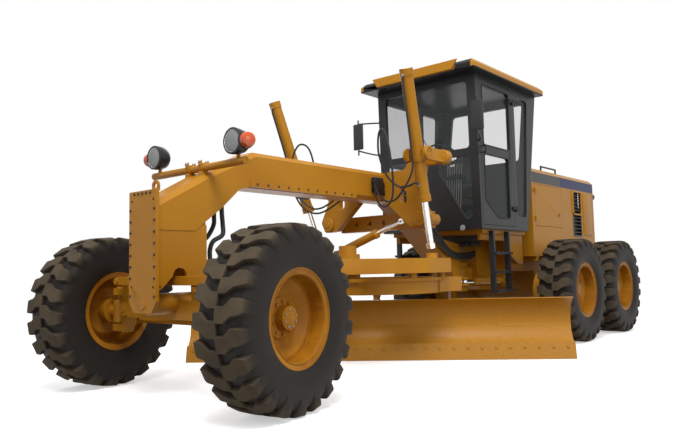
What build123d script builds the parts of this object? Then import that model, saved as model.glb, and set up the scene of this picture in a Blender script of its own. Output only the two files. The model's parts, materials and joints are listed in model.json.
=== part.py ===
from build123d import *

import os
from math import cos, radians, sin, sqrt

# Motor grader, in millimetres. +X is forward, +Y the machine's left, +Z up.
# The origin is on the ground under the middle of the machine's box.

# ---- driving dimensions ----
front_axle_x = 3718.5
wheelbase = 6170.0            # front axle to the pivot of the tandem cases
tandem_spread = 1530.0        # between the two wheels of one tandem case
track = 2260.0                # between the middles of the left and right tyres
seat_gap = 0.3                # between pieces that sit on each other
fit_gap = 0.05                # round a pin or shaft that turns in its bore
run_gap = 5.0                 # between pieces that move past each other
open_gap = 7.0                # round a pin at an eye where a linkage is left open

tyre_radius = 675.0
tyre_width = 445.0
carcass_radius = 643.0        # between the lugs
lugs_per_side = 22
lug_share = 0.56              # of the pitch that a lug's tip takes
lug_taper = 0.14              # more of the pitch at its root
rim_radius = 317.5            # bead seat
rim_flange_radius = 360.0
rim_width = 370.0
rim_wall = 12.0
disc_thickness = 22.0
hub_radius = 92.0
hub_drum_radius = 112.0
spindle_radius = 60.0
hub_depth = 118.0            # hub's inner face, inboard of the wheel's middle

steer_rest = 8.0              # degrees to the left, as the wheels stand
kingpin_y = 940.0
kingpin_radius = 32.0
axle_pin_z = 765.0            # the pin that the front axle swings on
axle_pin_radius = 40.0
lean_pin_y = 740.0
lean_pin_z = 700.0
lean_pin_radius = 28.0
lean_bar_z = 945.0
lean_bar_x = 120.0            # ahead of the axle
steering_arm = 235.0          # kingpin to the tie rod's end
tie_stud_radius = 14.0
lamp_bar_z = 1885.0
lamp_bar_radius = 32.0

nose_half = 186.0
nose_front = 368.0            # front face ahead of the axle
nose_thickness = 30.0
nose_bottom = 700.0
nose_top = 1660.0
nose_bolt_y = 150.0
nose_bolt_low = 900.0
nose_bolt_high = 1580.0
nose_bolt_radius = 13.0
cheek_inner = 130.0
cheek_thickness = 25.0

neck_half = 160.0
neck_top = 2075.0
neck_bottom = 1750.0
hitch_behind = 4330.0         # articulation pin, behind the front axle
hitch_pin_radius = 45.0
hitch_top = 1060.0
hitch_bottom = 690.0
hitch_lug = 60.0              # thickness of each lug
hitch_radius = 150.0
nose_set = 190.0              # hitch pin to the front of the rear frame's nose box
art_ear = 240.0               # articulation cylinder's front pin, ahead of the hitch pin
art_base = 620.0              # its rear pin, behind the hitch pin

ball_behind = 300.0           # drawbar ball, behind the front axle
ball_z = 1030.0
ball_radius = 60.0
tongue_half = 25.0
circle_behind = 2600.0
circle_radius = 770.0
circle_top = 905.0
circle_bottom = 740.0
drawbar_bottom = 955.0
drawbar_top = 1105.0
blade_angle = 36.5            # turned back at the machine's left
blade_length = 4270.0
blade_thickness = 22.0
tip_pin = (-330.0, 230.0)     # ahead of the circle's middle and up, in the turned frame
tip_pin_radius = 30.0
arm_y = 870.0                 # middle of each blade arm

lift_ball = (2580.0, 770.0, 1170.0)       # behind the axle, outward, up
lift_top = (1970.0, 930.0, 2960.0)
lift_barrel_radius = 62.0
lift_rod_radius = 33.0
shift_x = front_axle_x - 2425.0           # the cylinder that shifts the drawbar sideways
shift_base_y = -390.0
shift_base_z = 1190.0
shift_tip_y = 500.0
shift_tip_z = 1500.0
trunnion_share = 0.547        # of the way from the ball to the top
trunnion_radius = 26.0
link_bar_behind = 2830.0
link_bar_z = 1530.0

cab_front_low = 3750.0
cab_front_high = 3700.0
cab_rear_low = 5000.0
cab_rear_high = 5380.0
cab_floor = 1460.0
cab_top = 3335.0
cab_half = 730.0
cab_wall = 45.0
glass = 8.0
door_front = 3800.0
door_rear = 4620.0
door_low = cab_floor + 50
door_high = cab_top - 50
window_high = cab_top - 85
pane_corner = 45.0            # radius of the windows' corners
roof_front = 3480.0
roof_rear = 5400.0
roof_half = 850.0
roof_height = 122.0
deck_top = cab_floor - seat_gap
deck_thickness = 50.0

hood_front = 5440.0
hood_rear = 7800.0
hood_half = 600.0
hood_bottom = 1133.0
hood_top = 2385.0
hood_wall = 20.0
hood_door = (5530.0, 6480.0, 1560.0, 2160.0)     # front, rear, low, high
grille_panel = (6900.0, 7240.0, 1440.0, 2160.0)
rail_low = 930.0
rail_high = 1130.0
rail_inner = 240.0
rail_outer = 360.0
rear_plate_front = 7740.0
rear_plate_rear = 7830.0
rear_bolt_y = 250.0
rear_bolt_low = 840.0
rear_bolt_high = 1040.0
rear_bolt_radius = 14.0
weight_depth = 330.0          # the counterweight behind the rear plate
weight_low = 1500.0
weight_high = 1900.0

tandem_inner = 680.0
tandem_outer = 870.0
tandem_end_radius = 250.0
tandem_pin_radius = 110.0

wheel_y = track / 2
sides = (("left", 1), ("right", -1))


def station(behind):
    """The X of what lies this far behind the front axle."""
    return front_axle_x - behind


tandem_x = station(wheelbase)
hitch_x = station(hitch_behind)
circle_x = station(circle_behind)
ball_x = station(ball_behind)

# name, X of the wheel's middle, side, steered angle
wheels = []
for side, s in sides:
    steer = radians(steer_rest)
    outset = wheel_y - kingpin_y
    wheels.append((f"front_{side}", front_axle_x - s * outset * sin(steer),
                   s * (kingpin_y + outset * cos(steer)), s, steer_rest))
    wheels.append((f"rear_{side}_fore", tandem_x + tandem_spread / 2, s * wheel_y, s, 0.0))
    wheels.append((f"rear_{side}_aft", tandem_x - tandem_spread / 2, s * wheel_y, s, 0.0))


def wheel_plane(x, y, s, steer):
    """A plane at a wheel's middle whose Z runs outward along its axle."""
    turn = radians(steer)
    outward = (-s * sin(turn), s * cos(turn), 0)
    return Plane(origin=(x, y, tyre_radius), x_dir=(0, 0, 1), z_dir=outward)


def steer_plane(s):
    """A plane at a kingpin, turned with its steered wheel, at axle height."""
    turn = radians(steer_rest)
    return Plane(origin=(front_axle_x, s * kingpin_y, tyre_radius),
                 x_dir=(cos(turn), sin(turn), 0), z_dir=(0, 0, 1))


blade_plane = Plane(origin=(circle_x, 0, 0), z_dir=(0, 0, 1),
                    x_dir=(cos(radians(blade_angle)), sin(radians(blade_angle)), 0))


def write(builder, name):
    """Labels a finished piece and writes it as one STEP file."""
    builder.part.label = name
    export_step(builder.part, f"parts/{name}.step")


def block(x, y, z, mode=Mode.ADD):
    """A block between two limits on each axis, in any order."""
    low = (min(x), min(y), min(z))
    with Locations(low):
        Box(abs(x[1] - x[0]), abs(y[1] - y[0]), abs(z[1] - z[0]),
            align=(Align.MIN, Align.MIN, Align.MIN), mode=mode)


def bar(start, end, radius, mode=Mode.ADD):
    """A round bar between two points."""
    run = Vector(*end) - Vector(*start)
    with Locations(Plane(origin=start, z_dir=run)):
        Cylinder(radius, run.length, align=(Align.CENTER, Align.CENTER, Align.MIN), mode=mode)


def plate(outline, plane, thickness, both=False, mode=Mode.ADD, corner=0):
    """A flat plate from its outline in a plane, its corners rounded where a radius is given."""
    with BuildSketch(plane) as flat:
        with BuildLine():
            Polyline(*outline, close=True)
        make_face()
        if corner:
            fillet(flat.vertices(), corner)
    extrude(flat.sketch, amount=thickness, both=both, mode=mode)


def side_plane(y):
    """A plane across the machine's side view: X forward, Y up, thickness towards -Y."""
    return Plane(origin=(0, y, 0), x_dir=(1, 0, 0), z_dir=(0, -1, 0))


def front_plane(x):
    """A plane across the machine's front view: X to the left, Y up, thickness forward."""
    return Plane(origin=(x, 0, 0), x_dir=(0, 1, 0), z_dir=(1, 0, 0))


def behind_points(points):
    """Turns (distance behind the front axle, height) pairs into points of a side plane."""
    return [(station(b), z) for b, z in points]


os.makedirs("parts", exist_ok=True)

# ================= wheels =================
# The tyre's core is a ring of flats, one flat to a lug. Each half of the tread is a ring of
# straight lugs, half a pitch out of step with the other half.
flat_angle = 360.0 / lugs_per_side
flat_share = cos(radians(flat_angle / 2))
lug_tip = lug_share * flat_angle / 2              # from a lug's middle to the edge of its tip
lug_root = (lug_share + lug_taper) * flat_angle / 2
lug_top = tyre_radius / cos(radians(flat_angle / 2 - lug_tip))
half_tyre = tyre_width / 2
half_tread = half_tyre - 3
# distance across, radius: from one bead over the shoulders to the other
tyre_section = (
    (-rim_width / 2 + 18, rim_flange_radius + 8), (-half_tyre, 470), (-half_tread, 570),
    (half_tread, 570), (half_tyre, 470), (rim_width / 2 - 18, rim_flange_radius + 8))


def tread_outline(turn):
    """A toothed ring's corners: root, tip, tip and root of each lug."""
    corners = []
    for count in range(lugs_per_side):
        middle = turn + count * flat_angle
        for angle, radius in ((-lug_root, carcass_radius), (-lug_tip, lug_top),
                              (lug_tip, lug_top), (lug_root, carcass_radius)):
            corners.append((radius * cos(radians(middle + angle)), radius * sin(radians(middle + angle))))
    return corners


with BuildPart() as tyre:
    for across, radius in tyre_section:
        with BuildSketch(Plane.XY.offset(across)):
            RegularPolygon(radius, lugs_per_side, rotation=flat_angle / 2)
    loft(ruled=True)
    for turn, amount in ((0, half_tread), (flat_angle / 2, -half_tread)):
        with BuildSketch() as tread:
            with BuildLine():
                Polyline(*tread_outline(turn), close=True)
            make_face()
            RegularPolygon(560, lugs_per_side, rotation=flat_angle / 2, mode=Mode.SUBTRACT)
        extrude(amount=amount)
    with BuildSketch(Plane.XY.offset(-half_tyre)):
        RegularPolygon((rim_radius + seat_gap) / flat_share, lugs_per_side)
    extrude(amount=tyre_width, mode=Mode.SUBTRACT)

tread_facets = tyre.part

# the rim: distance from the axle, distance outward
half_rim = rim_width / 2
rim_profile = (
    (spindle_radius + fit_gap, -hub_depth), (hub_drum_radius, -hub_depth),
    (hub_drum_radius, -disc_thickness), (205, -disc_thickness), (272, 30),
    (rim_radius - rim_wall, 30), (rim_radius - rim_wall, -half_rim + 14),
    (rim_flange_radius, -half_rim), (rim_flange_radius, -half_rim + 15),
    (rim_radius, -half_rim + 18), (rim_radius, half_rim - 18),
    (rim_flange_radius, half_rim - 15), (rim_flange_radius, half_rim),
    (rim_radius - rim_wall, half_rim - 14), (rim_radius - rim_wall, 30 + disc_thickness),
    (272, 30 + disc_thickness), (205, 0), (150, 0), (150, 20), (hub_radius, 24),
    (hub_radius - 6, 92), (0, 104), (0, 40), (spindle_radius + fit_gap, 40))
with BuildPart() as rim:
    with BuildSketch(Plane.XZ):
        with BuildLine():
            Polyline(*rim_profile, close=True)
        make_face()
    revolve(axis=Axis.Z)

for name, x, y, s, steer in wheels:
    place = wheel_plane(x, y, s, steer)
    with BuildPart() as wheel_tyre:
        with Locations(place):
            add(tread_facets)
    write(wheel_tyre, f"tyre_{name}")
    with BuildPart() as wheel_rim:
        with Locations(place):
            add(rim.part)
    write(wheel_rim, f"rim_{name}")

# ================= front axle =================
boss_rear = front_axle_x - 145
boss_front = front_axle_x + nose_front - nose_thickness - run_gap
beam_half_x = 85
lean_eye = 62
lean_cylinder_x = front_axle_x - 30
lean_cylinder_z = 858.0
lean_base_y = 190.0
with BuildPart() as front_axle:
    plate(((-660, 630), (660, 630), (700, 660), (700, 740), (660, 775), (300, 785),
           (-300, 785), (-660, 775), (-700, 740), (-700, 660)),
          front_plane(front_axle_x - beam_half_x), 2 * beam_half_x)
    bar((boss_rear, 0, axle_pin_z), (boss_front, 0, axle_pin_z), 84)
    for side, s in sides:
        for x in (-beam_half_x, beam_half_x - 30):
            bar((front_axle_x + x, s * lean_pin_y, lean_pin_z),
                (front_axle_x + x + 30, s * lean_pin_y, lean_pin_z), 60)
        block((front_axle_x - beam_half_x + 30, front_axle_x + beam_half_x - 30),
              (s * 665, s * 900), (600, 800), mode=Mode.SUBTRACT)
        bar((front_axle_x - beam_half_x - 8, s * lean_pin_y, lean_pin_z),
            (front_axle_x + beam_half_x + 8, s * lean_pin_y, lean_pin_z), lean_pin_radius)
    bar((boss_rear, 0, axle_pin_z), (boss_front, 0, axle_pin_z),
        axle_pin_radius + fit_gap, mode=Mode.SUBTRACT)
    for x in (-42, 24):
        block((lean_cylinder_x + x, lean_cylinder_x + x + 18), (lean_base_y - 40, lean_base_y + 40),
              (770, lean_cylinder_z + 32))
    bar((lean_cylinder_x - 46, lean_base_y, lean_cylinder_z),
        (lean_cylinder_x + 46, lean_base_y, lean_cylinder_z), 16)
write(front_axle, "front_axle")

# ================= leaning yokes, knuckles and steering =================
king_low = 500
king_high = 880
for side, s in sides:
    with BuildPart() as lean_yoke:
        bar((front_axle_x - beam_half_x + 30 + run_gap, s * lean_pin_y, lean_pin_z),
            (front_axle_x + beam_half_x - 30 - run_gap, s * lean_pin_y, lean_pin_z), lean_eye)
        plate(((s * 700, 700), (s * 716, 985), (s * 764, 985), (s * 820, 890), (s * 820, 490),
               (s * 790, 490)),
              front_plane(front_axle_x - 50), 100)
        for z in (king_low, king_high - 60):
            bar((front_axle_x, s * kingpin_y, z), (front_axle_x, s * kingpin_y, z + 60), 62)
            block((front_axle_x - 50, front_axle_x + 50), (s * 800, s * kingpin_y), (z, z + 60))
        bar((front_axle_x, s * kingpin_y, king_low - 12),
            (front_axle_x, s * kingpin_y, king_high + 12), kingpin_radius)
        bar((front_axle_x - 90, s * lean_pin_y, lean_pin_z), (front_axle_x + 90, s * lean_pin_y, lean_pin_z),
            lean_pin_radius + fit_gap, mode=Mode.SUBTRACT)
        block((front_axle_x - 60, lean_cylinder_x + 22), (s * 660, s * 815),
              (lean_cylinder_z - 62, lean_cylinder_z + 62), mode=Mode.SUBTRACT)
        bar((lean_cylinder_x - 20, s * lean_pin_y, lean_cylinder_z),
            (lean_cylinder_x + 24, s * lean_pin_y, lean_cylinder_z), 14)
        bar((front_axle_x + 40, s * lean_pin_y, lean_bar_z), (front_axle_x + 165, s * lean_pin_y, lean_bar_z), 20)
        bar((front_axle_x + 155, s * lean_pin_y, lean_bar_z), (front_axle_x + 165, s * lean_pin_y, lean_bar_z), 30)
    write(lean_yoke, f"lean_yoke_{side}")

    knuckle_plane = steer_plane(s)
    with BuildPart() as knuckle:
        with Locations(knuckle_plane):
            Cylinder(58, 200, align=(Align.CENTER, Align.CENTER, Align.CENTER))
        axle_out = wheel_plane(*[w for w in wheels if w[0] == f"front_{side}"][0][1:])
        with Locations(Plane(origin=knuckle_plane.origin, z_dir=axle_out.z_dir)):
            Cylinder(spindle_radius, wheel_y - kingpin_y + 34,
                     align=(Align.CENTER, Align.CENTER, Align.MIN))
        arm_plane = Plane(origin=knuckle_plane.origin + Vector(0, 0, -60), x_dir=knuckle_plane.x_dir,
                          z_dir=(0, 0, 1))
        plate(((0, -45), (-steering_arm, -30), (-steering_arm - 30, 0), (-steering_arm, 30), (0, 45)),
              arm_plane, 36)
        stud = arm_plane.from_local_coords((-steering_arm, 0, -20))
        bar(stud, stud + Vector(0, 0, 80), tie_stud_radius + fit_gap, mode=Mode.SUBTRACT)
        with Locations(knuckle_plane):
            Cylinder(kingpin_radius + fit_gap, 300, mode=Mode.SUBTRACT,
                     align=(Align.CENTER, Align.CENTER, Align.CENTER))
    write(knuckle, f"knuckle_{side}")

with BuildPart() as lean_bar:
    block((front_axle_x + 90, front_axle_x + 150), (-lean_pin_y, lean_pin_y), (lean_bar_z - 36, lean_bar_z + 36))
    for side, s in sides:
        bar((front_axle_x + 90, s * lean_pin_y, lean_bar_z), (front_axle_x + 150, s * lean_pin_y, lean_bar_z), 36)
    for side, s in sides:
        bar((front_axle_x + 80, s * lean_pin_y, lean_bar_z), (front_axle_x + 160, s * lean_pin_y, lean_bar_z),
            20 + fit_gap, mode=Mode.SUBTRACT)
write(lean_bar, "lean_bar")

# the tie rod lies behind the axle, under the ends of the knuckles' arms
turn = radians(steer_rest)
tie_x = front_axle_x - steering_arm * cos(turn)
tie_shift = -steering_arm * sin(turn)
arm_low = tyre_radius - 60
tie_z = arm_low - run_gap - 34
tie_ball_radius = 32
with BuildPart() as tie_rod_ball:
    with Locations((tie_x, tie_shift + kingpin_y, tie_z)):
        Sphere(tie_ball_radius)
    bar((tie_x, tie_shift + kingpin_y, tie_z), (tie_x, tie_shift + kingpin_y, arm_low + 34), tie_stud_radius)
write(tie_rod_ball, "tie_rod_ball")

with BuildPart() as tie_rod:
    bar((tie_x, tie_shift - kingpin_y, tie_z), (tie_x, tie_shift + kingpin_y - 10, tie_z), 24)
    bar((tie_x, tie_shift - kingpin_y, tie_z - 30), (tie_x, tie_shift - kingpin_y, tie_z + 30), 30)
    with Locations((tie_x, tie_shift + kingpin_y, tie_z)):
        Sphere(tie_ball_radius + seat_gap, mode=Mode.SUBTRACT)
    block((tie_x - 60, tie_x + 60), (tie_shift + kingpin_y - 12, tie_shift + kingpin_y + 60),
          (tie_z - 60, tie_z + 60), mode=Mode.SUBTRACT)
write(tie_rod, "tie_rod")

# ================= front frame: nose, gooseneck, saddle and hitch =================
with BuildPart() as front_frame:
    with BuildSketch(Plane.XZ):
        with BuildLine():
            Polyline(*behind_points((
                (-338, 1345), (20, 1347), (300, 1550), (500, 1725), (600, neck_bottom), (2880, neck_bottom),
                (3350, 1450), (hitch_behind - 380, 1000), (hitch_behind - 220, hitch_bottom),
                (hitch_behind - 160, hitch_bottom), (hitch_behind - 160, 1300),
                (hitch_behind - 630, 1360), (3050, 1990), (2880, neck_top), (680, neck_top), (140, 1825), (-338, 1570))),
                close=True)
        make_face()
    extrude(amount=neck_half, both=True)
    top_edges = front_frame.edges().filter_by(
        lambda e: abs(abs(e.center().Y) - neck_half) < 1 and e.center().Z > 1650
        and e.center().X > station(2900))
    top_edges = top_edges.filter_by(lambda e: e.length > 400 and e.center().Z > 1690)
    chamfer(top_edges, 42)
    block((station(2100), station(620)), (-neck_half - 6, neck_half + 6), (neck_bottom + 6, neck_bottom + 62))
    # nose plate with its cut lower corners
    plate(((-nose_half, nose_top), (nose_half, nose_top), (nose_half, nose_bottom + 90),
           (nose_half - 66, nose_bottom), (66 - nose_half, nose_bottom), (-nose_half, nose_bottom + 90)),
          front_plane(station(-nose_front + nose_thickness)), nose_thickness)
    # cheeks under the box, arched over the lean bar
    for y in (-cheek_inner, cheek_inner + cheek_thickness):
        with BuildSketch(side_plane(y)) as cheek:
            with BuildLine():
                Polyline(*behind_points(((-190, 985), (-300, 880), (-338, 880), (-338, 1400), (140, 1400),
                                         (140, 977), (-60, 977), (-60, 985))))
                ThreePointArc((station(-60), 985), (station(-125), 1050), (station(-190), 985))
            make_face()
        extrude(cheek.sketch, amount=cheek_thickness)
    # post and pin that carry the axle
    block((station(190), station(150)), (-75, 75), (690, 1470))
    bar((station(205), 0, axle_pin_z), (station(-nose_front - 6), 0, axle_pin_z), axle_pin_radius)
    # drawbar socket
    block((station(300), station(190)), (-95, 95), (ball_z - 85, ball_z + 85))
    with Locations((ball_x, 0, ball_z)):
        Sphere(ball_radius + 0.3, mode=Mode.SUBTRACT)
    # hitch lugs and pin
    for z in (hitch_bottom, hitch_top - hitch_lug):
        bar((hitch_x, 0, z), (hitch_x, 0, z + hitch_lug), hitch_radius)
        block((hitch_x, hitch_x + 210), (-hitch_radius, hitch_radius), (z, z + hitch_lug))
    bar((hitch_x, 0, hitch_bottom - 12), (hitch_x, 0, hitch_top + 12), hitch_pin_radius)
    # ears for the articulation cylinders
    for side, s in sides:
        for z in (770, 850):
            block((hitch_x + art_ear - 50, hitch_x + art_ear + 50), (s * 150, s * 300), (z, z + 24))
        bar((hitch_x + art_ear, s * 262, 764), (hitch_x + art_ear, s * 262, 880), 20)
    # lamp bar pads
    for y in (-90, 90):
        block((station(200), station(120)), (y - 22, y + 22), (1790, lamp_bar_z - lamp_bar_radius - seat_gap))
    # holes for what is bolted to the nose
    for y in (-nose_bolt_y, nose_bolt_y):
        for z in (nose_bolt_low, nose_bolt_high):
            bar((station(-300), y, z), (station(-380), y, z), nose_bolt_radius, mode=Mode.SUBTRACT)
write(front_frame, "front_frame")

# ================= saddle: lift arms and link bar =================
lift_base = Vector(station(lift_ball[0]), lift_ball[1], lift_ball[2])
lift_head = Vector(station(lift_top[0]), lift_top[1], lift_top[2])
trunnion = lift_base + (lift_head - lift_base) * trunnion_share
with BuildPart() as lift_linkage:
    block((station(link_bar_behind + 45), station(link_bar_behind - 45)), (-640, 640),
          (link_bar_z - 90, link_bar_z + 90))
    for side, s in sides:
        with BuildSketch(front_plane(station(2640))) as arm:
            with BuildLine():
                Polyline((s * (neck_half + seat_gap), 1770), (s * 520, 1450), (s * 700, 1440), (s * 760, 1560),
                         (s * 640, 1800), (s * 720, 2060), (s * 745, 2240), (s * 620, 2240), (s * 460, 2070),
                         (s * (neck_half + seat_gap), 2060), close=True)
            make_face()
            fillet(arm.vertices().filter_by(lambda v: abs(v.Y) > 400), 42)
            with Locations((s * 440, 1800)):
                SlotCenterToCenter(110, 90, rotation=90, mode=Mode.SUBTRACT)
        extrude(arm.sketch, amount=80)
        bar((station(link_bar_behind + 50), s * 640, link_bar_z), (station(2560), s * 640, link_bar_z), 62)
        # yoke round the lift cylinder's trunnion
        for inner in (trunnion.Y - 112, trunnion.Y + 82):
            block((station(2600), trunnion.X + 45), (s * inner, s * (inner + 30)), (trunnion.Z - 62, trunnion.Z + 62))
        block((station(2640), station(2560)), (s * 700, s * (trunnion.Y + 112)), (trunnion.Z - 62, trunnion.Z + 62))
    for side, s in sides:
        bar((trunnion.X, s * (trunnion.Y - 130), trunnion.Z), (trunnion.X, s * (trunnion.Y + 130), trunnion.Z),
            trunnion_radius + fit_gap, mode=Mode.SUBTRACT)
    for y in (-400, -200, 0, 200, 400):
        bar((station(link_bar_behind + 60), y, link_bar_z), (station(link_bar_behind - 60), y, link_bar_z),
            28, mode=Mode.SUBTRACT)
    block((station(2880), station(2560)), (-neck_half - seat_gap, neck_half + seat_gap), (1700, 2200),
          mode=Mode.SUBTRACT)
write(lift_linkage, "lift_linkage")

# ================= lamps and hoses =================
lamp_y = 540
with BuildPart() as head_lamps:
    bar((station(160), -lamp_y - 90, lamp_bar_z), (station(160), lamp_y + 90, lamp_bar_z), lamp_bar_radius)
    for side, s in sides:
        bar((station(160), s * lamp_y, lamp_bar_z), (station(160), s * lamp_y, 2045), 16)
        bar((station(235), s * lamp_y, 2045), (station(160), s * lamp_y, 2045), 80)
        bar((station(160), s * lamp_y, 2045), (station(75), s * lamp_y, 2045), 110)
        bar((station(150), s * (lamp_y + 100), 2045), (station(150), s * (lamp_y + 150), 2045), 45)
write(head_lamps, "head_lamps")

with BuildPart() as hydraulic_hoses:
    for y in (-52, 52):
        with BuildLine() as route:
            FilletPolyline((station(380), y, 1602), (station(385), y * 1.1, 1430), (station(350), y * 2, 1320),
                           (station(245), y * 1.2, 1250), (station(245), y * 1.2, ball_z + 85.4), radius=45)
        with BuildSketch(Plane(origin=route.line @ 0, z_dir=route.line % 0)):
            Circle(20)
        sweep(path=route.line)
write(hydraulic_hoses, "hydraulic_hoses")

# ================= drawbar, ball, circle and blade =================
with BuildPart() as drawbar_ball:
    with Locations((ball_x, 0, ball_z)):
        Sphere(ball_radius)
    block((ball_x - 90, ball_x + 46 + 2), (-tongue_half - fit_gap, tongue_half + fit_gap),
          (ball_z - 90, ball_z + 90), mode=Mode.SUBTRACT)
    bar((ball_x, -50, ball_z), (ball_x, 50, ball_z), 16)
write(drawbar_ball, "drawbar_ball")

leg = 75
with BuildPart() as drawbar:
    bar((ball_x, -tongue_half, ball_z), (ball_x, tongue_half, ball_z), 45)
    block((ball_x - 170, ball_x), (-tongue_half, tongue_half), (ball_z - 40, ball_z + 40))
    block((ball_x - 260, ball_x - 105), (-95, 95), (drawbar_bottom, drawbar_top))
    for side, s in sides:
        plate(behind_points(((460, s * 20), (420, s * 110), (2400, s * 850), (2820, s * 850), (2900, s * 780),
                             (2900, s * 700), (2400, s * 680))),
              Plane.XY.offset(drawbar_bottom), drawbar_top - drawbar_bottom)
    block((station(2560), station(2240)), (-760, 760), (drawbar_bottom, drawbar_top - 25))
    block((station(2900), station(2780)), (-760, 760), (drawbar_bottom, drawbar_top - 60))
    for side, s in sides:
        bar((lift_base.X, s * lift_base.Y, drawbar_top - 10), (lift_base.X, s * lift_base.Y, lift_base.Z - 12), 58)
        # guide shoes between the drawbar and the circle
        for behind, y in ((2330, 690), (2850, 700)):
            bar((station(behind), s * y, circle_top + seat_gap), (station(behind), s * y, drawbar_bottom + 20), 45)
    # circle drive on the front cross-member
    bar((station(2130), 0, circle_top + 10), (station(2130), 0, drawbar_top + 60), 130)
    bar((station(2130), 0, drawbar_top + 60), (station(2130), 0, drawbar_top + 150), 95)
    block((station(2260), station(2000)), (-170, 170), (drawbar_bottom, drawbar_bottom + 60))
    # ears for the cylinder that shifts the drawbar sideways
    for x in (shift_x - 42, shift_x + 22):
        block((x, x + 20), (shift_base_y - 30, shift_base_y + 30), (drawbar_bottom, shift_base_z + 26))
    bar((shift_x - 46, shift_base_y, shift_base_z), (shift_x + 46, shift_base_y, shift_base_z), 16)
    bar((ball_x, -30, ball_z), (ball_x, 30, ball_z), 16 + fit_gap, mode=Mode.SUBTRACT)
write(drawbar, "drawbar")

with BuildPart() as circle:
    for radius, low, high in ((circle_radius, circle_top - 34, circle_top), (circle_radius - 40, circle_bottom, circle_top)):
        with BuildSketch(Plane(origin=(circle_x, 0, low))):
            Circle(radius)
        extrude(amount=high - low)
    with BuildSketch(Plane(origin=(circle_x, 0, circle_bottom))):
        Circle(circle_radius - 95)
    extrude(amount=circle_top - circle_bottom, mode=Mode.SUBTRACT)
    for side, s in sides:
        plate(((260, s * 690), (-60, s * 960), (-430, s * 960), (-430, s * 540), (-100, s * 690)),
              blade_plane.offset(circle_bottom + 5), circle_top - circle_bottom - 10)
        plate(((-60, 760), (-430, 760), (-410, 200), (-330, 165), (-265, 200), (-230, 520)),
              Plane(origin=blade_plane.from_local_coords((0, s * arm_y + 30, 0)), x_dir=blade_plane.x_dir,
                    z_dir=-blade_plane.y_dir), 60)
        pin_ends = [blade_plane.from_local_coords((tip_pin[0], s * y, tip_pin[1])) for y in (740, 912)]
        bar(*pin_ends, tip_pin_radius)
    tip_base = (-660.0, 0.0, 700.0)
    with Locations(blade_plane.location):
        with Locations((-660, 0, 775)):
            Box(90, 760, 60)
        for y in (-36, 36):
            with Locations((-650, y, 715)):
                Box(70, 22, 100)
    bar(blade_plane.from_local_coords((-660, -50, 700)), blade_plane.from_local_coords((-660, 50, 700)), 16)
write(circle, "circle")

blade_side = Plane(origin=blade_plane.origin, x_dir=blade_plane.x_dir, z_dir=-blade_plane.y_dir)
half_blade = blade_length / 2
rail_x = (-132, -40)
rails = ((225, 285), (500, 560))          # heights of the two slide rails
shift_line = (-190, 335)                  # the side-shift cylinder's line behind the blade
tip_ear = (-240.0, 560.0)
with BuildPart() as blade:
    with BuildSketch(blade_side) as curve:
        with BuildLine():
            front = ThreePointArc((60, 150), (-92, 370), (70, 655))
            Line((70, 655), (46, 662))
            ThreePointArc((46, 662), (-116, 372), (36, 144))
            Line((36, 144), (60, 150))
        make_face()
    extrude(curve.sketch, amount=half_blade, both=True)
    for low, high in rails:
        plate(((rail_x[0], low), (rail_x[1], low), (rail_x[1], high), (rail_x[0], high)),
              blade_side, 1050, both=True)
    # nothing stands out of the mouldboard's hollow face
    with BuildSketch(blade_side) as hollow_face:
        with BuildLine():
            ThreePointArc((60, 150), (-92, 370), (70, 655))
            Line((70, 655), (60, 150))
        make_face()
    extrude(hollow_face.sketch, amount=half_blade, both=True, mode=Mode.SUBTRACT)
    plate(((90, 5), (112, 5), (66, 182), (46, 176)), blade_side, half_blade, both=True)
    lug_plane = blade_side.offset(-1380)
    plate(((-225, 295), (-85, 295), (-85, 375), (-225, 375)), lug_plane, 40)
    bar(blade_plane.from_local_coords((shift_line[0], -200, shift_line[1])),
        blade_plane.from_local_coords((shift_line[0], 1350, shift_line[1])), 28)
write(blade, "blade")

with BuildPart() as blade_bracket:
    for side, s in sides:
        middle = Plane(origin=blade_plane.from_local_coords((0, s * 790 + 30, 0)),
                       x_dir=blade_plane.x_dir, z_dir=-blade_plane.y_dir)
        plate(((-390, 190), (-100, 190), (-112, 316), (-142, 316), (-142, 470), (-112, 470), (-112, 592),
               (-270, 592), (-310, 420), (-390, 290)), middle, 60)
    for x, z, radius in ((-330, 230, 52), (-290, 430, 42)):
        bar(blade_plane.from_local_coords((x, -800, z)), blade_plane.from_local_coords((x, 800, z)), radius)
    for y in (-53, 29):
        plate(((-330, 430), (-250, 400), (-205, 560), (-240, 598), (-275, 580)),
              Plane(origin=blade_plane.from_local_coords((0, y + 24, 0)),
                    x_dir=blade_plane.x_dir, z_dir=-blade_plane.y_dir), 24)
    bar(blade_plane.from_local_coords((tip_ear[0], -53, tip_ear[1])),
        blade_plane.from_local_coords((tip_ear[0], 53, tip_ear[1])), 16)
    bar(blade_plane.from_local_coords((shift_line[0], -770, shift_line[1])),
        blade_plane.from_local_coords((shift_line[0], 350, shift_line[1])), 44)
    plate(((-330, 230), (-190, 290), (-190, 380), (-290, 430)),
          Plane(origin=blade_plane.from_local_coords((0, 300, 0)),
                x_dir=blade_plane.x_dir, z_dir=-blade_plane.y_dir), 30)
    bar(blade_plane.from_local_coords((shift_line[0], -725, shift_line[1])),
        blade_plane.from_local_coords((shift_line[0], 900, shift_line[1])), 28 + 3, mode=Mode.SUBTRACT)
    for low, high in rails:
        plate(((rail_x[0] - seat_gap, low - seat_gap), (0, low - seat_gap), (0, high + seat_gap),
               (rail_x[0] - seat_gap, high + seat_gap)), blade_side, 1000, both=True, mode=Mode.SUBTRACT)
    bar(blade_plane.from_local_coords((tip_pin[0], -950, tip_pin[1])),
        blade_plane.from_local_coords((tip_pin[0], 950, tip_pin[1])), tip_pin_radius + fit_gap, mode=Mode.SUBTRACT)
write(blade_bracket, "blade_bracket")

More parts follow.
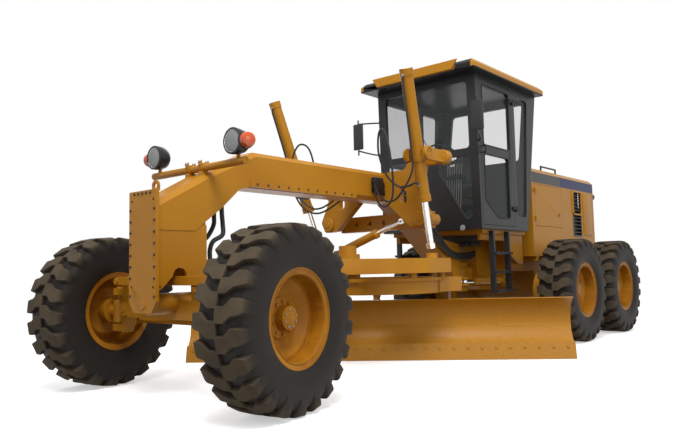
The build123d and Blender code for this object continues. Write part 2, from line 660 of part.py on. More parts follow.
# ================= cylinders =================
# name, base pin, rod pin, pin direction, barrel radius, rod radius, barrel length,
# base pin to the rod's inner end, gap round the rod's pin
tip_base_point = blade_plane.from_local_coords((-660, 0, 700))
tip_tip_point = blade_plane.from_local_coords((tip_ear[0], 0, tip_ear[1]))
cylinders = [
    ("lean", Vector(lean_cylinder_x, lean_base_y, lean_cylinder_z),
     Vector(lean_cylinder_x, lean_pin_y, lean_cylinder_z), Vector(1, 0, 0), 34, 20, 400, 140, 13),
    ("shift", Vector(shift_x, shift_base_y, shift_base_z), Vector(shift_x, shift_tip_y, shift_tip_z),
     Vector(1, 0, 0), 45, 25, 600, 300, 0),
    ("tip", tip_base_point, tip_tip_point, Vector(*blade_plane.y_dir), 42, 24, 366, 110, 6),
]
for side, s in sides:
    cylinders.append((f"articulation_{side}", Vector(hitch_x - art_base, s * 340, 820),
                      Vector(hitch_x + art_ear, s * 262, 820), Vector(0, 0, 1), 40, 22, 620, 185, 15))
pin_radius = {"articulation_left": 20, "articulation_right": 20, "lean": 14}
for name, base, end, pin_axis, barrel_radius, rod_radius, barrel_length, inner_end, gap in cylinders:
    along = (end - base).normalized()
    length = (end - base).length
    base_pin = 20 if name.startswith("art") else 16
    end_pin = pin_radius.get(name, 16)
    eye_half = 14
    with BuildPart() as barrel:
        bar(base - pin_axis * eye_half, base + pin_axis * eye_half, base_pin + 16)
        bar(base + along * (base_pin + 6), base + along * 60, eye_half)
        bar(base + along * 56, base + along * barrel_length, barrel_radius)
        bar(base + along * (barrel_length - 36), base + along * barrel_length, barrel_radius + 6)
        bar(base + along * 76, base + along * (barrel_length + 5), rod_radius + seat_gap, mode=Mode.SUBTRACT)
        bar(base - pin_axis * 60, base + pin_axis * 60, base_pin + fit_gap, mode=Mode.SUBTRACT)
    write(barrel, f"{name}_barrel")
    with BuildPart() as rod:
        bar(base + along * inner_end, end - along * 18, rod_radius)
        bar(end - pin_axis * eye_half, end + pin_axis * eye_half, end_pin + gap + 14)
        bar(end - pin_axis * 40, end + pin_axis * 40, end_pin + max(gap, fit_gap), mode=Mode.SUBTRACT)
    write(rod, f"{name}_rod")

for side, s in sides:
    ball = Vector(lift_base.X, s * lift_base.Y, lift_base.Z)
    head = Vector(lift_head.X, s * lift_head.Y, lift_head.Z)
    along = (head - ball).normalized()
    middle = ball + (head - ball) * trunnion_share
    gland = ball + (head - ball) * 0.29
    with BuildPart() as lift_barrel:
        bar(gland, head, lift_barrel_radius)
        bar(gland, gland + along * 60, lift_barrel_radius + 8)
        bar(head - along * 70, head, lift_barrel_radius + 6)
        bar(middle - along * 60, middle + along * 60, lift_barrel_radius + 12)
        bar(middle - Vector(0, 120, 0), middle + Vector(0, 120, 0), trunnion_radius)
        bar(gland - along * 5, head - along * 60, lift_rod_radius + seat_gap, mode=Mode.SUBTRACT)
    write(lift_barrel, f"lift_{side}_barrel")
    with BuildPart() as lift_rod:
        bar(ball + along * 44, gland + along * 600, lift_rod_radius)
        bar(ball + along * 44, ball + along * 100, lift_rod_radius + 12)
    write(lift_rod, f"lift_{side}_rod")

# ================= rear frame and tandem cases =================
nose_half_rear = 200
with BuildPart() as rear_frame:
    bar((hitch_x, 0, hitch_bottom + hitch_lug + run_gap), (hitch_x, 0, hitch_top - hitch_lug - run_gap), 140)
    block((hitch_x, hitch_x - nose_set - 80), (-120, 120),
          (hitch_bottom + hitch_lug + run_gap, hitch_top - hitch_lug - run_gap))
    bar((hitch_x, 0, hitch_bottom), (hitch_x, 0, hitch_top), hitch_pin_radius + fit_gap, mode=Mode.SUBTRACT)
    # nose box, its front raked back from the top
    nose = hitch_behind + nose_set
    plate(behind_points(((nose, 1300), (nose + 40, 750), (nose + 100, 700), (nose + 530, 700),
                         (nose + 530, deck_top - deck_thickness), (nose, deck_top - deck_thickness))),
          side_plane(nose_half_rear), 2 * nose_half_rear)
    for side, s in sides:
        # rails, cross-members' ends and the ears for the articulation cylinders
        block((station(nose + 480), station(rear_plate_front)), (s * rail_inner, s * rail_outer), (rail_low, rail_high))
        block((station(nose + 480), station(nose + 590)), (s * 150, s * 385), (740, rail_high))
        for z in (776, 840):
            block((station(nose + 490), station(nose + 392)), (s * 300, s * 380), (z, z + 24))
        bar((hitch_x - art_base, s * 340, 770), (hitch_x - art_base, s * 340, 870), 20)
        # brackets under the cab
        plate(behind_points(((4640, rail_high + 40), (4990, rail_high - 100), (4990, deck_top - deck_thickness),
                             (4640, deck_top - deck_thickness))), side_plane(s * 600 + 20), 40)
        block((station(4990), station(5030)), (s * 200, s * 620), (rail_high - 100, deck_top - deck_thickness))
        plate(behind_points(((3900, 1330), (4560, 1330), (4640, rail_high + 40), (4640, deck_top - deck_thickness),
                             (3900, deck_top - deck_thickness))), side_plane(s * 600 + 20), 40)
    block((station(3880), station(5030)), (-660, 660), (deck_top - deck_thickness, deck_top))
    for behind in (5300, 6900):
        block((station(behind), station(behind + 140)), (-rail_outer, rail_outer), (rail_low + 20, rail_high - 20))
    # brackets under the hood, rear plate and counterweight
    for behind in (5500, 6550, 7600):
        block((station(behind), station(behind + 80)), (-hood_half, hood_half), (rail_high - 60, hood_bottom - seat_gap))
    block((station(rear_plate_front), station(rear_plate_rear)), (-560, 560), (760, hood_bottom - 3))
    block((station(hood_rear + 3), station(rear_plate_rear)), (-440, 440), (1100, weight_high))
    block((station(rear_plate_rear), station(rear_plate_rear + weight_depth)), (-440, 440),
          (weight_low, weight_high))
    # final drive housing across the machine
    bar((tandem_x, -tandem_inner + run_gap, tyre_radius), (tandem_x, tandem_inner - run_gap, tyre_radius), 175)
    block((tandem_x - 250, tandem_x + 250), (-rail_outer, rail_outer), (tyre_radius, rail_low))
    for side, s in sides:
        bar((tandem_x, s * 600, tyre_radius), (tandem_x, s * (tandem_outer - 40), tyre_radius), tandem_pin_radius)
    for y in (-rear_bolt_y, rear_bolt_y):
        for z in (rear_bolt_low, rear_bolt_high):
            bar((station(rear_plate_front - 10), y, z), (station(rear_plate_rear + 10), y, z),
                rear_bolt_radius, mode=Mode.SUBTRACT)
write(rear_frame, "rear_frame")

for side, s in sides:
    inner = s * tandem_inner
    with BuildPart() as tandem_case:
        with BuildSketch(Plane(origin=(tandem_x, inner, tyre_radius), x_dir=(1, 0, 0), z_dir=(0, s, 0))):
            SlotCenterToCenter(tandem_spread, 2 * tandem_end_radius)
        extrude(amount=tandem_outer - tandem_inner)
        bar((tandem_x, inner, tyre_radius), (tandem_x, s * tandem_outer, tyre_radius), tandem_end_radius + 30)
        for x in (-tandem_spread / 2, tandem_spread / 2):
            bar((tandem_x + x, s * tandem_outer, tyre_radius), (tandem_x + x, s * (tandem_outer + 60), tyre_radius), 130)
            bar((tandem_x + x, s * tandem_outer, tyre_radius), (tandem_x + x, s * (wheel_y + 34), tyre_radius),
                spindle_radius)
        bar((tandem_x, s * 600, tyre_radius), (tandem_x, s * (tandem_outer - 38), tyre_radius),
            tandem_pin_radius + fit_gap, mode=Mode.SUBTRACT)
    write(tandem_case, f"tandem_case_{side}")

# ================= cab =================
cab_outline = behind_points(((cab_front_low, cab_floor), (cab_front_high, cab_top), (cab_rear_high, cab_top),
                             (cab_rear_low, cab_floor)))
sill = window_high - 810              # of the large front and rear panes
low_sill = cab_floor + 120            # of the low front panes
front_window = ((-610, sill), (610, sill), (610, window_high), (-610, window_high))
low_window = ((150, sill - 90), (620, sill - 90), (620, low_sill), (520, low_sill), (150, sill - 240))
rear_window = ((-560, sill), (560, sill), (560, window_high), (-560, window_high))
side_window = behind_points(((4720, low_sill + 60), (4960, low_sill + 60), (5110, window_high - 30),
                             (4720, window_high - 30)))
pane_gap = 0.3


def mirrored(points, s):
    return [(s * y, z) for y, z in points]


def inset(outline, plane, thickness, shrink):
    """A pane from a window's outline, drawn in by a margin all round."""
    with BuildSketch(plane) as flat:
        with BuildLine():
            Polyline(*outline, close=True)
        make_face()
        fillet(flat.vertices(), pane_corner)
        offset(amount=-shrink, mode=Mode.REPLACE)
    extrude(flat.sketch, amount=thickness)


with BuildPart() as cab_shell:
    plate(cab_outline, side_plane(0), cab_half, both=True)
    with BuildSketch(side_plane(0)) as hollow:
        with BuildLine():
            Polyline(*cab_outline, close=True)
        make_face()
        offset(amount=-cab_wall, kind=Kind.INTERSECTION, mode=Mode.REPLACE)
    extrude(hollow.sketch, amount=cab_half - cab_wall, both=True, mode=Mode.SUBTRACT)
    block((station(3790), station(5300)), (-cab_half + cab_wall, cab_half - cab_wall), (cab_top - 60, cab_top + 10),
          mode=Mode.SUBTRACT)
    # windows and door openings
    plate(front_window, front_plane(station(3900)), 300, mode=Mode.SUBTRACT, corner=pane_corner)
    for side, s in sides:
        plate(mirrored(low_window, s), front_plane(station(3900)), 300, mode=Mode.SUBTRACT, corner=pane_corner)
    plate(rear_window, front_plane(station(5500)), 450, mode=Mode.SUBTRACT, corner=pane_corner)
    plate(side_window, side_plane(0), cab_half + 50, both=True, mode=Mode.SUBTRACT, corner=pane_corner)
    block((station(door_front - 5), station(door_rear + 5)), (-cab_half - 50, cab_half + 50),
          (door_low - 5, door_high + 5), mode=Mode.SUBTRACT)
    for side, s in sides:
        for z in (door_low + 190, door_high - 185):
            block((station(door_rear + 14), station(door_rear + 60)), (s * (cab_half - 10), s * (cab_half + 16)), (z, z + 20))
            bar((station(door_rear + 20), s * (cab_half + 22), z), (station(door_rear + 20), s * (cab_half + 22), z + 70), 8)
write(cab_shell, "cab_shell")

with BuildPart() as cab_glass:
    # each pane lies in the middle of its wall
    lean_front = (cab_front_low - cab_front_high) / (cab_top - cab_floor)
    lean_rear = (cab_rear_high - cab_rear_low) / (cab_top - cab_floor)
    front_x = station(cab_front_high + 22)
    for outline in (front_window, mirrored(low_window, 1), mirrored(low_window, -1)):
        inset(outline, front_plane(front_x - 18), glass, pane_gap)
    for side, s in sides:
        inset(side_window, side_plane(s * (cab_half - 22) + glass / 2), glass, pane_gap)
write(cab_glass, "cab_glass")

with BuildPart() as cab_roof:
    block((station(roof_front), station(roof_rear)), (-roof_half, roof_half),
          (cab_top + seat_gap, cab_top + roof_height))
    chamfer(cab_roof.edges().group_by(Axis.Z)[-1], 50)
    plate(((-560, cab_top + 20), (560, cab_top + 20), (640, cab_top + 140), (-640, cab_top + 140)),
          front_plane(station(roof_front)), 26)
write(cab_roof, "cab_roof")

for side, s in sides:
    door_y = s * (cab_half - cab_wall / 2)
    with BuildPart() as cab_door:
        plate(behind_points(((door_front, door_low), (door_rear, door_low), (door_rear, door_high),
                             (door_front, door_high))), side_plane(s * (cab_half - 40) + (0 if s < 0 else 40)), 40)
        for outline in (((3860, sill + 40), (4560, sill + 40), (4560, door_high - 60), (3860, door_high - 60)),
                        ((3870, door_low + 290), (4180, door_low + 90), (4500, door_low + 90),
                         (4500, sill - 70), (3870, sill - 70))):
            plate(behind_points(outline), side_plane(0), cab_half + 50, both=True, mode=Mode.SUBTRACT,
                  corner=pane_corner)
            with BuildSketch(side_plane(s * (cab_half - 22) + glass / 2)) as pane:
                with BuildLine():
                    Polyline(*behind_points(outline), close=True)
                make_face()
                fillet(pane.vertices(), pane_corner)
            extrude(pane.sketch, amount=glass)
        for z in (door_low + 210, door_high - 165):
            bar((station(door_rear + 20), s * (cab_half + 22), z), (station(door_rear + 20), s * (cab_half + 22), z + 40), 20)
            block((station(door_rear - 60), station(door_rear + 20)), (s * cab_half, s * (cab_half + 24)), (z, z + 40))
            bar((station(door_rear + 20), s * (cab_half + 22), z - 5), (station(door_rear + 20), s * (cab_half + 22), z + 60),
                8 + fit_gap, mode=Mode.SUBTRACT)
        for z in (sill - 60, sill + 20):
            bar((station(3840), s * cab_half, z), (station(3840), s * (cab_half + 45), z), 9)
        bar((station(3840), s * (cab_half + 40), sill - 70), (station(3840), s * (cab_half + 40), sill + 30), 10)
    write(cab_door, f"cab_door_{side}")

floor_top = cab_floor + cab_wall + seat_gap
with BuildPart() as operator_station:
    block((station(4280), station(4640)), (-170, 170), (floor_top, 1760))
    block((station(4180), station(4700)), (-250, 250), (1760, 1900))
    plate(behind_points(((4640, 1900), (4760, 1900), (4860, 2560), (4770, 2580))), side_plane(240), 480)
    plate(behind_points(((3870, floor_top), (4080, floor_top), (4060, 2050), (3960, 2240), (3890, 2240))),
          side_plane(110), 220)
    for side, s in sides:
        plate(behind_points(((3980, 2130), (4070, 2050), (4120, 2260), (4060, 2300))), side_plane(s * 190 + 70), 140)
        for count in range(4):
            y = s * (135 + count * 34)
            bar((station(4080), y, 2270), (station(4110), y, 2400), 5)
    bar((station(3960), 0, 2200), (station(4110), 0, 2330), 26)
    with Locations(Plane(origin=(station(4110), 0, 2330), z_dir=(-0.75, 0, 0.66))):
        Torus(185, 14)
        Box(360, 26, 10)
        Cylinder(40, 24)
write(operator_station, "operator_station")

# ================= mirrors, ladders and rails =================
with BuildPart() as mirrors:
    for side, s in sides:
        for low, high in ((2520, 2560), (2960, 2920)):
            block((station(3728), station(3768)), (s * (cab_half + seat_gap), s * (cab_half + 24)), (low - 15, low + 15))
            bar((station(3748), s * (cab_half + 12), low), (station(3450), s * 880, high), 10)
        bar((station(3450), s * 880, 2500), (station(3450), s * 880, 2970), 10)
        block((station(3435), station(3465)), (s * 800, s * 965), (2570, 2925))
write(mirrors, "mirrors")

with BuildPart() as ladders:
    for side, s in sides:
        for behind in (4030, 4430):
            block((station(behind), station(behind + 40)), (s * (660 + seat_gap), s * 725), (680, 1440))
        for z in (690, 920, 1150):
            block((station(4030), station(4470)), (s * (660 + seat_gap), s * 760), (z, z + 30))
        for front, rear in ((5960, 6480),):
            for behind in (front, rear):
                bar((station(behind), s * 520, hood_top + seat_gap), (station(behind), s * 520, 2450), 13)
            bar((station(front), s * 520, 2450), (station(rear), s * 520, 2450), 13)
write(ladders, "ladders_and_rails")

# ================= hood and engine =================
hood_section = ((-hood_half, hood_bottom), (hood_half, hood_bottom), (hood_half, hood_top - 60),
                (hood_half - 60, hood_top), (60 - hood_half, hood_top), (-hood_half, hood_top - 60))
inner_section = ((-hood_half + hood_wall, hood_bottom - 10), (hood_half - hood_wall, hood_bottom - 10),
                 (hood_half - hood_wall, hood_top - 66), (hood_half - 66, hood_top - hood_wall),
                 (66 - hood_half, hood_top - hood_wall), (hood_wall - hood_half, hood_top - 66))
with BuildPart() as engine_hood:
    plate(hood_section, front_plane(station(hood_rear)), hood_rear - hood_front)
    plate(inner_section, front_plane(station(hood_rear - hood_wall)), hood_rear - hood_front - 2 * hood_wall,
          mode=Mode.SUBTRACT)
    front, rear, low, high = hood_door
    block((station(front), station(rear)), (-hood_half - 10, hood_half + 10), (low, high), mode=Mode.SUBTRACT)
    front, rear, low, high = grille_panel
    block((station(front), station(rear)), (-hood_half - 10, hood_half + 10), (low, high), mode=Mode.SUBTRACT)
    block((station(hood_rear - 50), station(hood_rear + 10)), (-450, 450), (1950, 2250), mode=Mode.SUBTRACT)
    for side, s in sides:
        for z in (1640, 2040):
            block((station(5495), station(5529)), (s * (hood_half - 2), s * (hood_half + 22)), (z, z + 20))
            bar((station(5532), s * (hood_half + 14), z), (station(5532), s * (hood_half + 14), z + 58), 6)
write(engine_hood, "engine_hood")

front, rear, low, high = hood_door
for side, s in sides:
    with BuildPart() as hood_panel:
        block((station(front + 5), station(rear - 5)), (s * (hood_half - hood_wall), s * hood_half), (low + 5, high - 5))
        block((station(6330), station(6380)), (s * hood_half, s * (hood_half + 12)), (1720, 1770))
        for z in (1660, 2060):
            block((station(5538), station(5580)), (s * (hood_half - 2), s * (hood_half + 22)), (z, z + 34))
            bar((station(5532), s * (hood_half + 14), z), (station(5532), s * (hood_half + 14), z + 34), 13)
            bar((station(5532), s * (hood_half + 14), z - 5), (station(5532), s * (hood_half + 14), z + 50),
                6 + fit_gap, mode=Mode.SUBTRACT)
    write(hood_panel, f"hood_door_{side}")

front, rear, low, high = grille_panel
with BuildPart() as grille_panels:
    for side, s in sides:
        for x in (station(front) - seat_gap, station(rear) + 30 + seat_gap):
            block((x, x - 30), (s * (hood_half - hood_wall), s * (hood_half + 6)), (low + seat_gap, high - seat_gap))
        for count in range(12):
            z = low + 20 + count * 58
            plate(((s * (hood_half - 16), z), (s * (hood_half + 4), z - 16), (s * (hood_half + 4), z - 8),
                   (s * (hood_half - 16), z + 8)), front_plane(station(rear) + 20), rear - front - 40)
        for z in (low + seat_gap, high - 24 - seat_gap):
            block((station(front) - seat_gap, station(rear) + seat_gap),
                  (s * (hood_half - hood_wall), s * (hood_half + 6)), (z, z + 24))
    for count in range(9):
        z = 1960 + count * 33
        block((station(hood_rear - 18), station(hood_rear)), (-450 + seat_gap, 450 - seat_gap), (z, z + 14))
    for y in (-430, 0, 430):
        block((station(hood_rear - 18), station(hood_rear)), (y - 19, y + 19), (1950 + seat_gap, 2250 - seat_gap))
write(grille_panels, "grille_panels")

with BuildPart() as engine_block:
    block((station(5750), station(6500)), (-350, 350), (rail_high + seat_gap, 2050))
write(engine_block, "engine_block")

with BuildPart() as rear_lamps:
    for side, s in sides:
        block((station(hood_rear + seat_gap), station(7900)), (s * 505, s * 535), (2115, 2145))
        bar((station(7880), s * 520, 2130), (station(7965), s * 520, 2130), 58)
write(rear_lamps, "rear_lamps")
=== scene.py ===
import bmesh
import bpy
import json
import math
import numpy as np
from mathutils import Matrix, Vector


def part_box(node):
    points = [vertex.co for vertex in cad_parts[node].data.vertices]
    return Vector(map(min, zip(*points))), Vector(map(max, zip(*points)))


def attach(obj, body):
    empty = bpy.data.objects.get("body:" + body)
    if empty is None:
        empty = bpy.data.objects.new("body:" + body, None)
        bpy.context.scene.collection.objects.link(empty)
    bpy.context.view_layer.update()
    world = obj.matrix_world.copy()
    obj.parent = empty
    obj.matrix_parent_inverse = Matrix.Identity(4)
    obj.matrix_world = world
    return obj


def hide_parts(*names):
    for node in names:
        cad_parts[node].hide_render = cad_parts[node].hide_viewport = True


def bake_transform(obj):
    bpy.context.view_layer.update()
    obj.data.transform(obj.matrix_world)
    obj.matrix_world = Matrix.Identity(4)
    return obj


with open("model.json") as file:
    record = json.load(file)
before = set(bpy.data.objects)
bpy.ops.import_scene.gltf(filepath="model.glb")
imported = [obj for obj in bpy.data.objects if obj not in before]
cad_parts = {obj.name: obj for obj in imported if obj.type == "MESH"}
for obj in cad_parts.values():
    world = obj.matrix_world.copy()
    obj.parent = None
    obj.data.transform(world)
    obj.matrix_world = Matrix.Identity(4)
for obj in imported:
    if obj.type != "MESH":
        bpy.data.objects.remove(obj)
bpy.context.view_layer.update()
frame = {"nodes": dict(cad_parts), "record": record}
record = frame["record"]
bodyOf = {node: body for body, nodes in record["behaviour"]["bodies"].items() for node in nodes}
slotOf = {part["node"]: part["material_slot"] for part in record["subparts"]}
scene = bpy.context.scene
frontAxle = 3.7185                     # where the front axle stands on the machine's length
bothSides = ((1, "left"), (-1, "right"))


def behind(distance):                  # a place on the length, given from the front axle backwards
    return frontAxle - distance


class Flow:                            # a socket that can be added, multiplied and compared
    def __init__(self, tree, socket=None):
        self.tree = tree
        self.socket = socket

    def node(self, kind, settings=None, sockets=None, output=0):
        made = self.tree.nodes.new(kind)
        for name, value in (settings or {}).items():
            setattr(made, name, value)
        for name, value in (sockets or {}).items():
            if isinstance(value, Flow):
                self.tree.links.new(value.socket, made.inputs[name])
            else:
                made.inputs[name].default_value = value
        return Flow(self.tree, made.outputs[output])

    def maths(self, operation, *values):
        return self.node("ShaderNodeMath", {"operation": operation}, dict(enumerate(values)))

    def __add__(self, other):
        return self.maths("ADD", self, other)

    __radd__ = __add__

    def __sub__(self, other):
        return self.maths("SUBTRACT", self, other)

    def __rsub__(self, other):
        return self.maths("SUBTRACT", other, self)

    def __mul__(self, other):
        return self.maths("MULTIPLY", self, other)

    __rmul__ = __mul__

    def __gt__(self, other):
        return self.maths("GREATER_THAN", self, other)

    def __lt__(self, other):
        return self.maths("LESS_THAN", self, other)

    def step(self, low, high):         # 0 below low, 1 above high, smooth between
        return self.node("ShaderNodeMapRange", {"interpolation_type": "SMOOTHSTEP"},
                         {"Value": self, "From Min": low, "From Max": high})

    def mix(self, first, second):      # first where this is 0, second where it is 1
        first = (*first, 1) if isinstance(first, tuple) else first
        second = (*second, 1) if isinstance(second, tuple) else second
        return self.node("ShaderNodeMix", {"data_type": "RGBA"}, {0: self, 6: first, 7: second}, output=2)

    def noise(self, place, scale, detail=4.0, roughness=0.55):
        return self.node("ShaderNodeTexNoise", None,
                         {"Vector": place, "Scale": scale, "Detail": detail, "Roughness": roughness})

    def bump(self, height, strength, distance):
        return self.node("ShaderNodeBump", None, {"Height": height, "Strength": strength, "Distance": distance})


def newLook(name, fixed, paint):       # a material: fixed shader values, and paint(flow, place) for what varies
    look = bpy.data.materials.new(name)
    look.use_nodes = True
    tree = look.node_tree
    shader = tree.nodes["Principled BSDF"]
    for socket, value in fixed.items():
        shader.inputs[socket].default_value = value
    flow = Flow(tree)
    place = flow.node("ShaderNodeTexCoord", None, None, output=3)
    for socket, value in paint(flow, place).items():
        tree.links.new(value.socket, shader.inputs[socket])
    return look


def heights(flow, place):              # the three coordinates of a place, as sockets
    parts = flow.tree.nodes.new("ShaderNodeSeparateXYZ")
    flow.tree.links.new(place.socket, parts.inputs[0])
    return [Flow(flow.tree, parts.outputs[index]) for index in range(3)]


paintSettings = {
    "yellow": (0.47, 0.208, 0.014), "shade": (0.40, 0.163, 0.009), "dust": (0.33, 0.22, 0.11),
    # the darker wheel yellow on the next line is painted shade for the deep rim dishes
    "paintedDishShade": (0.31, 0.115, 0.005),
    "black": (0.013, 0.013, 0.014), "grey": (0.065, 0.068, 0.07), "blue": (0.018, 0.026, 0.10),
    "steel": (0.30, 0.28, 0.26), "tread": (0.088, 0.066, 0.042), "wall": (0.012, 0.009, 0.007),
}


def coat(flow, place, colour, dustTop):     # paint with faint orange peel, dust below dustTop and a few scuffs
    x, y, z = heights(flow, place)
    broad = flow.noise(place, 1.7, 3)
    fine = flow.noise(place, 38, 5, 0.65)
    peel = flow.noise(place, 420, 2)
    low = (1 - (z + broad * 0.5).step(dustTop * 0.25 + 0.25, dustTop + 0.25)) * fine.step(0.35, 0.75)
    scuff = flow.noise(place, 95, 4, 0.7).step(0.72, 0.78) * broad.step(0.5, 0.62) * 0.35
    dusty = (low * 0.26).mix(colour, paintSettings["dust"])
    worn = (scuff * 0.5).mix(dusty, paintSettings["steel"])
    return {"Base Color": worn, "Roughness": 0.33 + low * 0.32 + fine * 0.09 + scuff * 0.2,
            "Normal": flow.bump(peel * 0.35 + fine * 0.65, 0.10, 0.0012)}


def yellowPaint(flow, place):
    broad = flow.noise(place, 1.1, 2)
    return coat(flow, place, broad.step(0.3, 0.7).mix(paintSettings["yellow"], paintSettings["shade"]), 0.9)


# wheel paint: the whole wheel is darker than the body's yellow, as painted shade of the deep rim dishes, with dust in
# patches
def wheelPaintWithDishShade(flow, place):
    fine = flow.noise(place, 30, 5, 0.65)
    broad = flow.noise(place, 5, 3)
    grime = fine.step(0.45, 0.8) * broad.step(0.35, 0.7)
    # painted shade: the wheel's colour lies between two darker yellows in random patches, standing for the shade in
    # the dishes
    colour = broad.step(0.3, 0.7).mix(paintSettings["shade"], paintSettings["paintedDishShade"])
    return {"Base Color": (grime * 0.3).mix(colour, paintSettings["dust"]), "Roughness": 0.42 + grime * 0.3,
            "Normal": flow.bump(fine, 0.1, 0.001)}


def hoodPaint(flow, place):            # yellow, with a grey band on the front half and a blue one behind
    x, y, z = heights(flow, place)
    band = (z > 2.175) * (z < 2.322) * (flow.maths("ABSOLUTE", y) > 0.59)
    front = band * (x > behind(6.45)) * (x < behind(5.45))
    rear = band * (x < behind(6.45)) * (x > behind(7.79))
    colour = front.mix(paintSettings["yellow"], paintSettings["grey"])
    return coat(flow, place, rear.mix(colour, paintSettings["blue"]), 1.3)


def roofPaint(flow, place):            # yellow, black below and on the front face behind the brow
    x, y, z = heights(flow, place)
    face = (x > behind(3.535)) * (x < behind(3.4785)) * (flow.maths("ABSOLUTE", y) < 0.80)
    dark = flow.maths("MAXIMUM", face, z < 3.352)
    return coat(flow, place, dark.mix(paintSettings["yellow"], paintSettings["black"]), 1.0)


def blackPaint(flow, place):
    return coat(flow, place, flow.noise(place, 2).mix(paintSettings["black"], (0.022, 0.022, 0.024)), 0.9)


def bladePaint(flow, place):           # paint with faint streaks along the blade, paler with dust at the foot
    streak = flow.node("ShaderNodeTexNoise", None, {
        "Vector": flow.node("ShaderNodeMapping", None, {"Vector": place, "Rotation": (0, 0, math.radians(53.5)),
                                                         "Scale": (1.5, 40, 40)}),
        "Scale": 2.0, "Detail": 5.0})
    return coat(flow, place, streak.step(0.4, 0.75).mix(paintSettings["yellow"], paintSettings["shade"]), 0.45)


def tyreRubber(flow, place):           # tread is 1 on the lugs' tops, where dust clings; reach is the radius
    tread = flow.node("ShaderNodeAttribute", {"attribute_name": "tread"}, None, output=2)
    reach = flow.node("ShaderNodeAttribute", {"attribute_name": "reach"}, None, output=2)
    broad = flow.noise(place, 6, 4)
    grit = flow.noise(place, 120, 6, 0.7)
    dust = tread * (0.55 + broad.step(0.3, 0.65) * 0.45) + grit.step(0.62, 0.8) * 0.15
    rings = flow.maths("SINE", reach * 520) * reach.step(0.375, 0.39) * (1 - reach.step(0.475, 0.49))
    return {"Base Color": dust.mix(paintSettings["wall"], paintSettings["tread"]),
            "Roughness": 0.62 + dust * 0.3, "Normal": flow.bump(grit + rings * 0.6, 0.4, 0.002)}


def chromePlate(flow, place):
    fine = flow.noise(place, 60, 3)
    return {"Roughness": 0.10 + fine * 0.10}


def bareSteel(flow, place):
    fine = flow.noise(place, 45, 5, 0.7)
    return {"Base Color": fine.mix((0.22, 0.21, 0.20), (0.36, 0.34, 0.32)), "Roughness": 0.34 + fine * 0.25}


def blackRubber(flow, place):
    fine = flow.noise(place, 90, 4)
    return {"Base Color": fine.step(0.5, 0.8).mix((0.012, 0.012, 0.012), (0.05, 0.045, 0.04)),
            "Roughness": 0.42 + fine * 0.2}


def seatCloth(flow, place):            # a plain weave of 4 mm threads
    weave = flow.node("ShaderNodeTexChecker", None, {"Vector": place, "Scale": 260.0}, output=1)
    fine = flow.noise(place, 30, 4)
    return {"Base Color": fine.mix((0.030, 0.031, 0.034), (0.055, 0.056, 0.06)),
            "Normal": flow.bump(weave * 0.5 + fine, 0.3, 0.002)}


def mouldedPlastic(flow, place):
    grain = flow.noise(place, 600, 3)
    return {"Base Color": flow.noise(place, 4).mix((0.020, 0.020, 0.022), (0.035, 0.035, 0.037)),
            "Roughness": 0.45 + grain * 0.2, "Normal": flow.bump(grain, 0.25, 0.0006)}


def castIron(flow, place):
    fine = flow.noise(place, 50, 6, 0.7)
    return {"Base Color": fine.mix((0.025, 0.024, 0.023), (0.07, 0.06, 0.05)), "Roughness": 0.55 + fine * 0.3,
            "Normal": flow.bump(fine, 0.4, 0.003)}


def tintedGlass(flow, place):          # faint streaks left by a wiped pane
    smear = flow.noise(place, 3, 5, 0.7)
    return {"Roughness": 0.02 + smear.step(0.5, 0.8) * 0.05}


def reflector(flow, place):            # flutes across the bowl, 6 mm apart
    x, y, z = heights(flow, place)
    flute = flow.maths("SINE", y * 1000) * flow.maths("SINE", z * 1000)
    return {"Roughness": 0.12 + flow.maths("ABSOLUTE", flute) * 0.2, "Normal": flow.bump(flute, 0.5, 0.002)}


paintGloss = {"Specular IOR Level": 0.16, "Coat Weight": 0.05, "Coat Roughness": 0.12}
looks = {
    "yellow": newLook("yellowPaint", paintGloss, yellowPaint),
    "hood": newLook("hoodPaint", paintGloss, hoodPaint),
    "roof": newLook("roofPaint", paintGloss, roofPaint),
    "wheel": newLook("wheelPaintWithDishShade", {"Specular IOR Level": 0.16}, wheelPaintWithDishShade),
    "black": newLook("blackPaint", {"Specular IOR Level": 0.3}, blackPaint),
    "blade": newLook("bladePaint", {"Specular IOR Level": 0.25}, bladePaint),
    "tyre": newLook("tyreRubber", {"Specular IOR Level": 0.2}, tyreRubber),
    "chrome": newLook("chromePlate", {"Base Color": (0.80, 0.80, 0.80, 1), "Metallic": 1.0}, chromePlate),
    "steel": newLook("bareSteel", {"Metallic": 0.9}, bareSteel),
    "hose": newLook("hoseRubber", {"Specular IOR Level": 0.35}, blackRubber),
    "cloth": newLook("seatCloth", {"Roughness": 0.9}, seatCloth),
    "plastic": newLook("mouldedPlastic", {"Specular IOR Level": 0.3}, mouldedPlastic),
    "iron": newLook("castIron", {"Metallic": 0.3}, castIron),
    "glass": newLook("tintedGlass", {"Base Color": (0.07, 0.085, 0.085, 1), "Alpha": 0.20,
                                     "Specular IOR Level": 0.6}, tintedGlass),
    "lens": newLook("lampLens", {"Base Color": (0.85, 0.88, 0.90, 1), "Alpha": 0.30}, tintedGlass),
    "amber": newLook("amberLens", {"Base Color": (0.60, 0.085, 0.01, 1)}, tintedGlass),
    "reflector": newLook("lampReflector", {"Base Color": (0.86, 0.87, 0.88, 1), "Metallic": 0.35}, reflector),
    "red": newLook("redLens", {"Base Color": (0.55, 0.02, 0.015, 1)}, tintedGlass),
}
print("looks made:", len(looks))


def gridFaces(rows, columns, closeRows, closeColumns):
    # quads between neighbours of a rows x columns grid, wrapping where a side is closed
    row = np.arange(rows if closeRows else rows - 1)[:, None]
    column = np.arange(columns if closeColumns else columns - 1)[None, :]
    nextRow, nextColumn = (row + 1) % rows, (column + 1) % columns
    return np.stack([row * columns + column, row * columns + nextColumn,
                     nextRow * columns + nextColumn, nextRow * columns + column], -1).reshape(-1, 4)


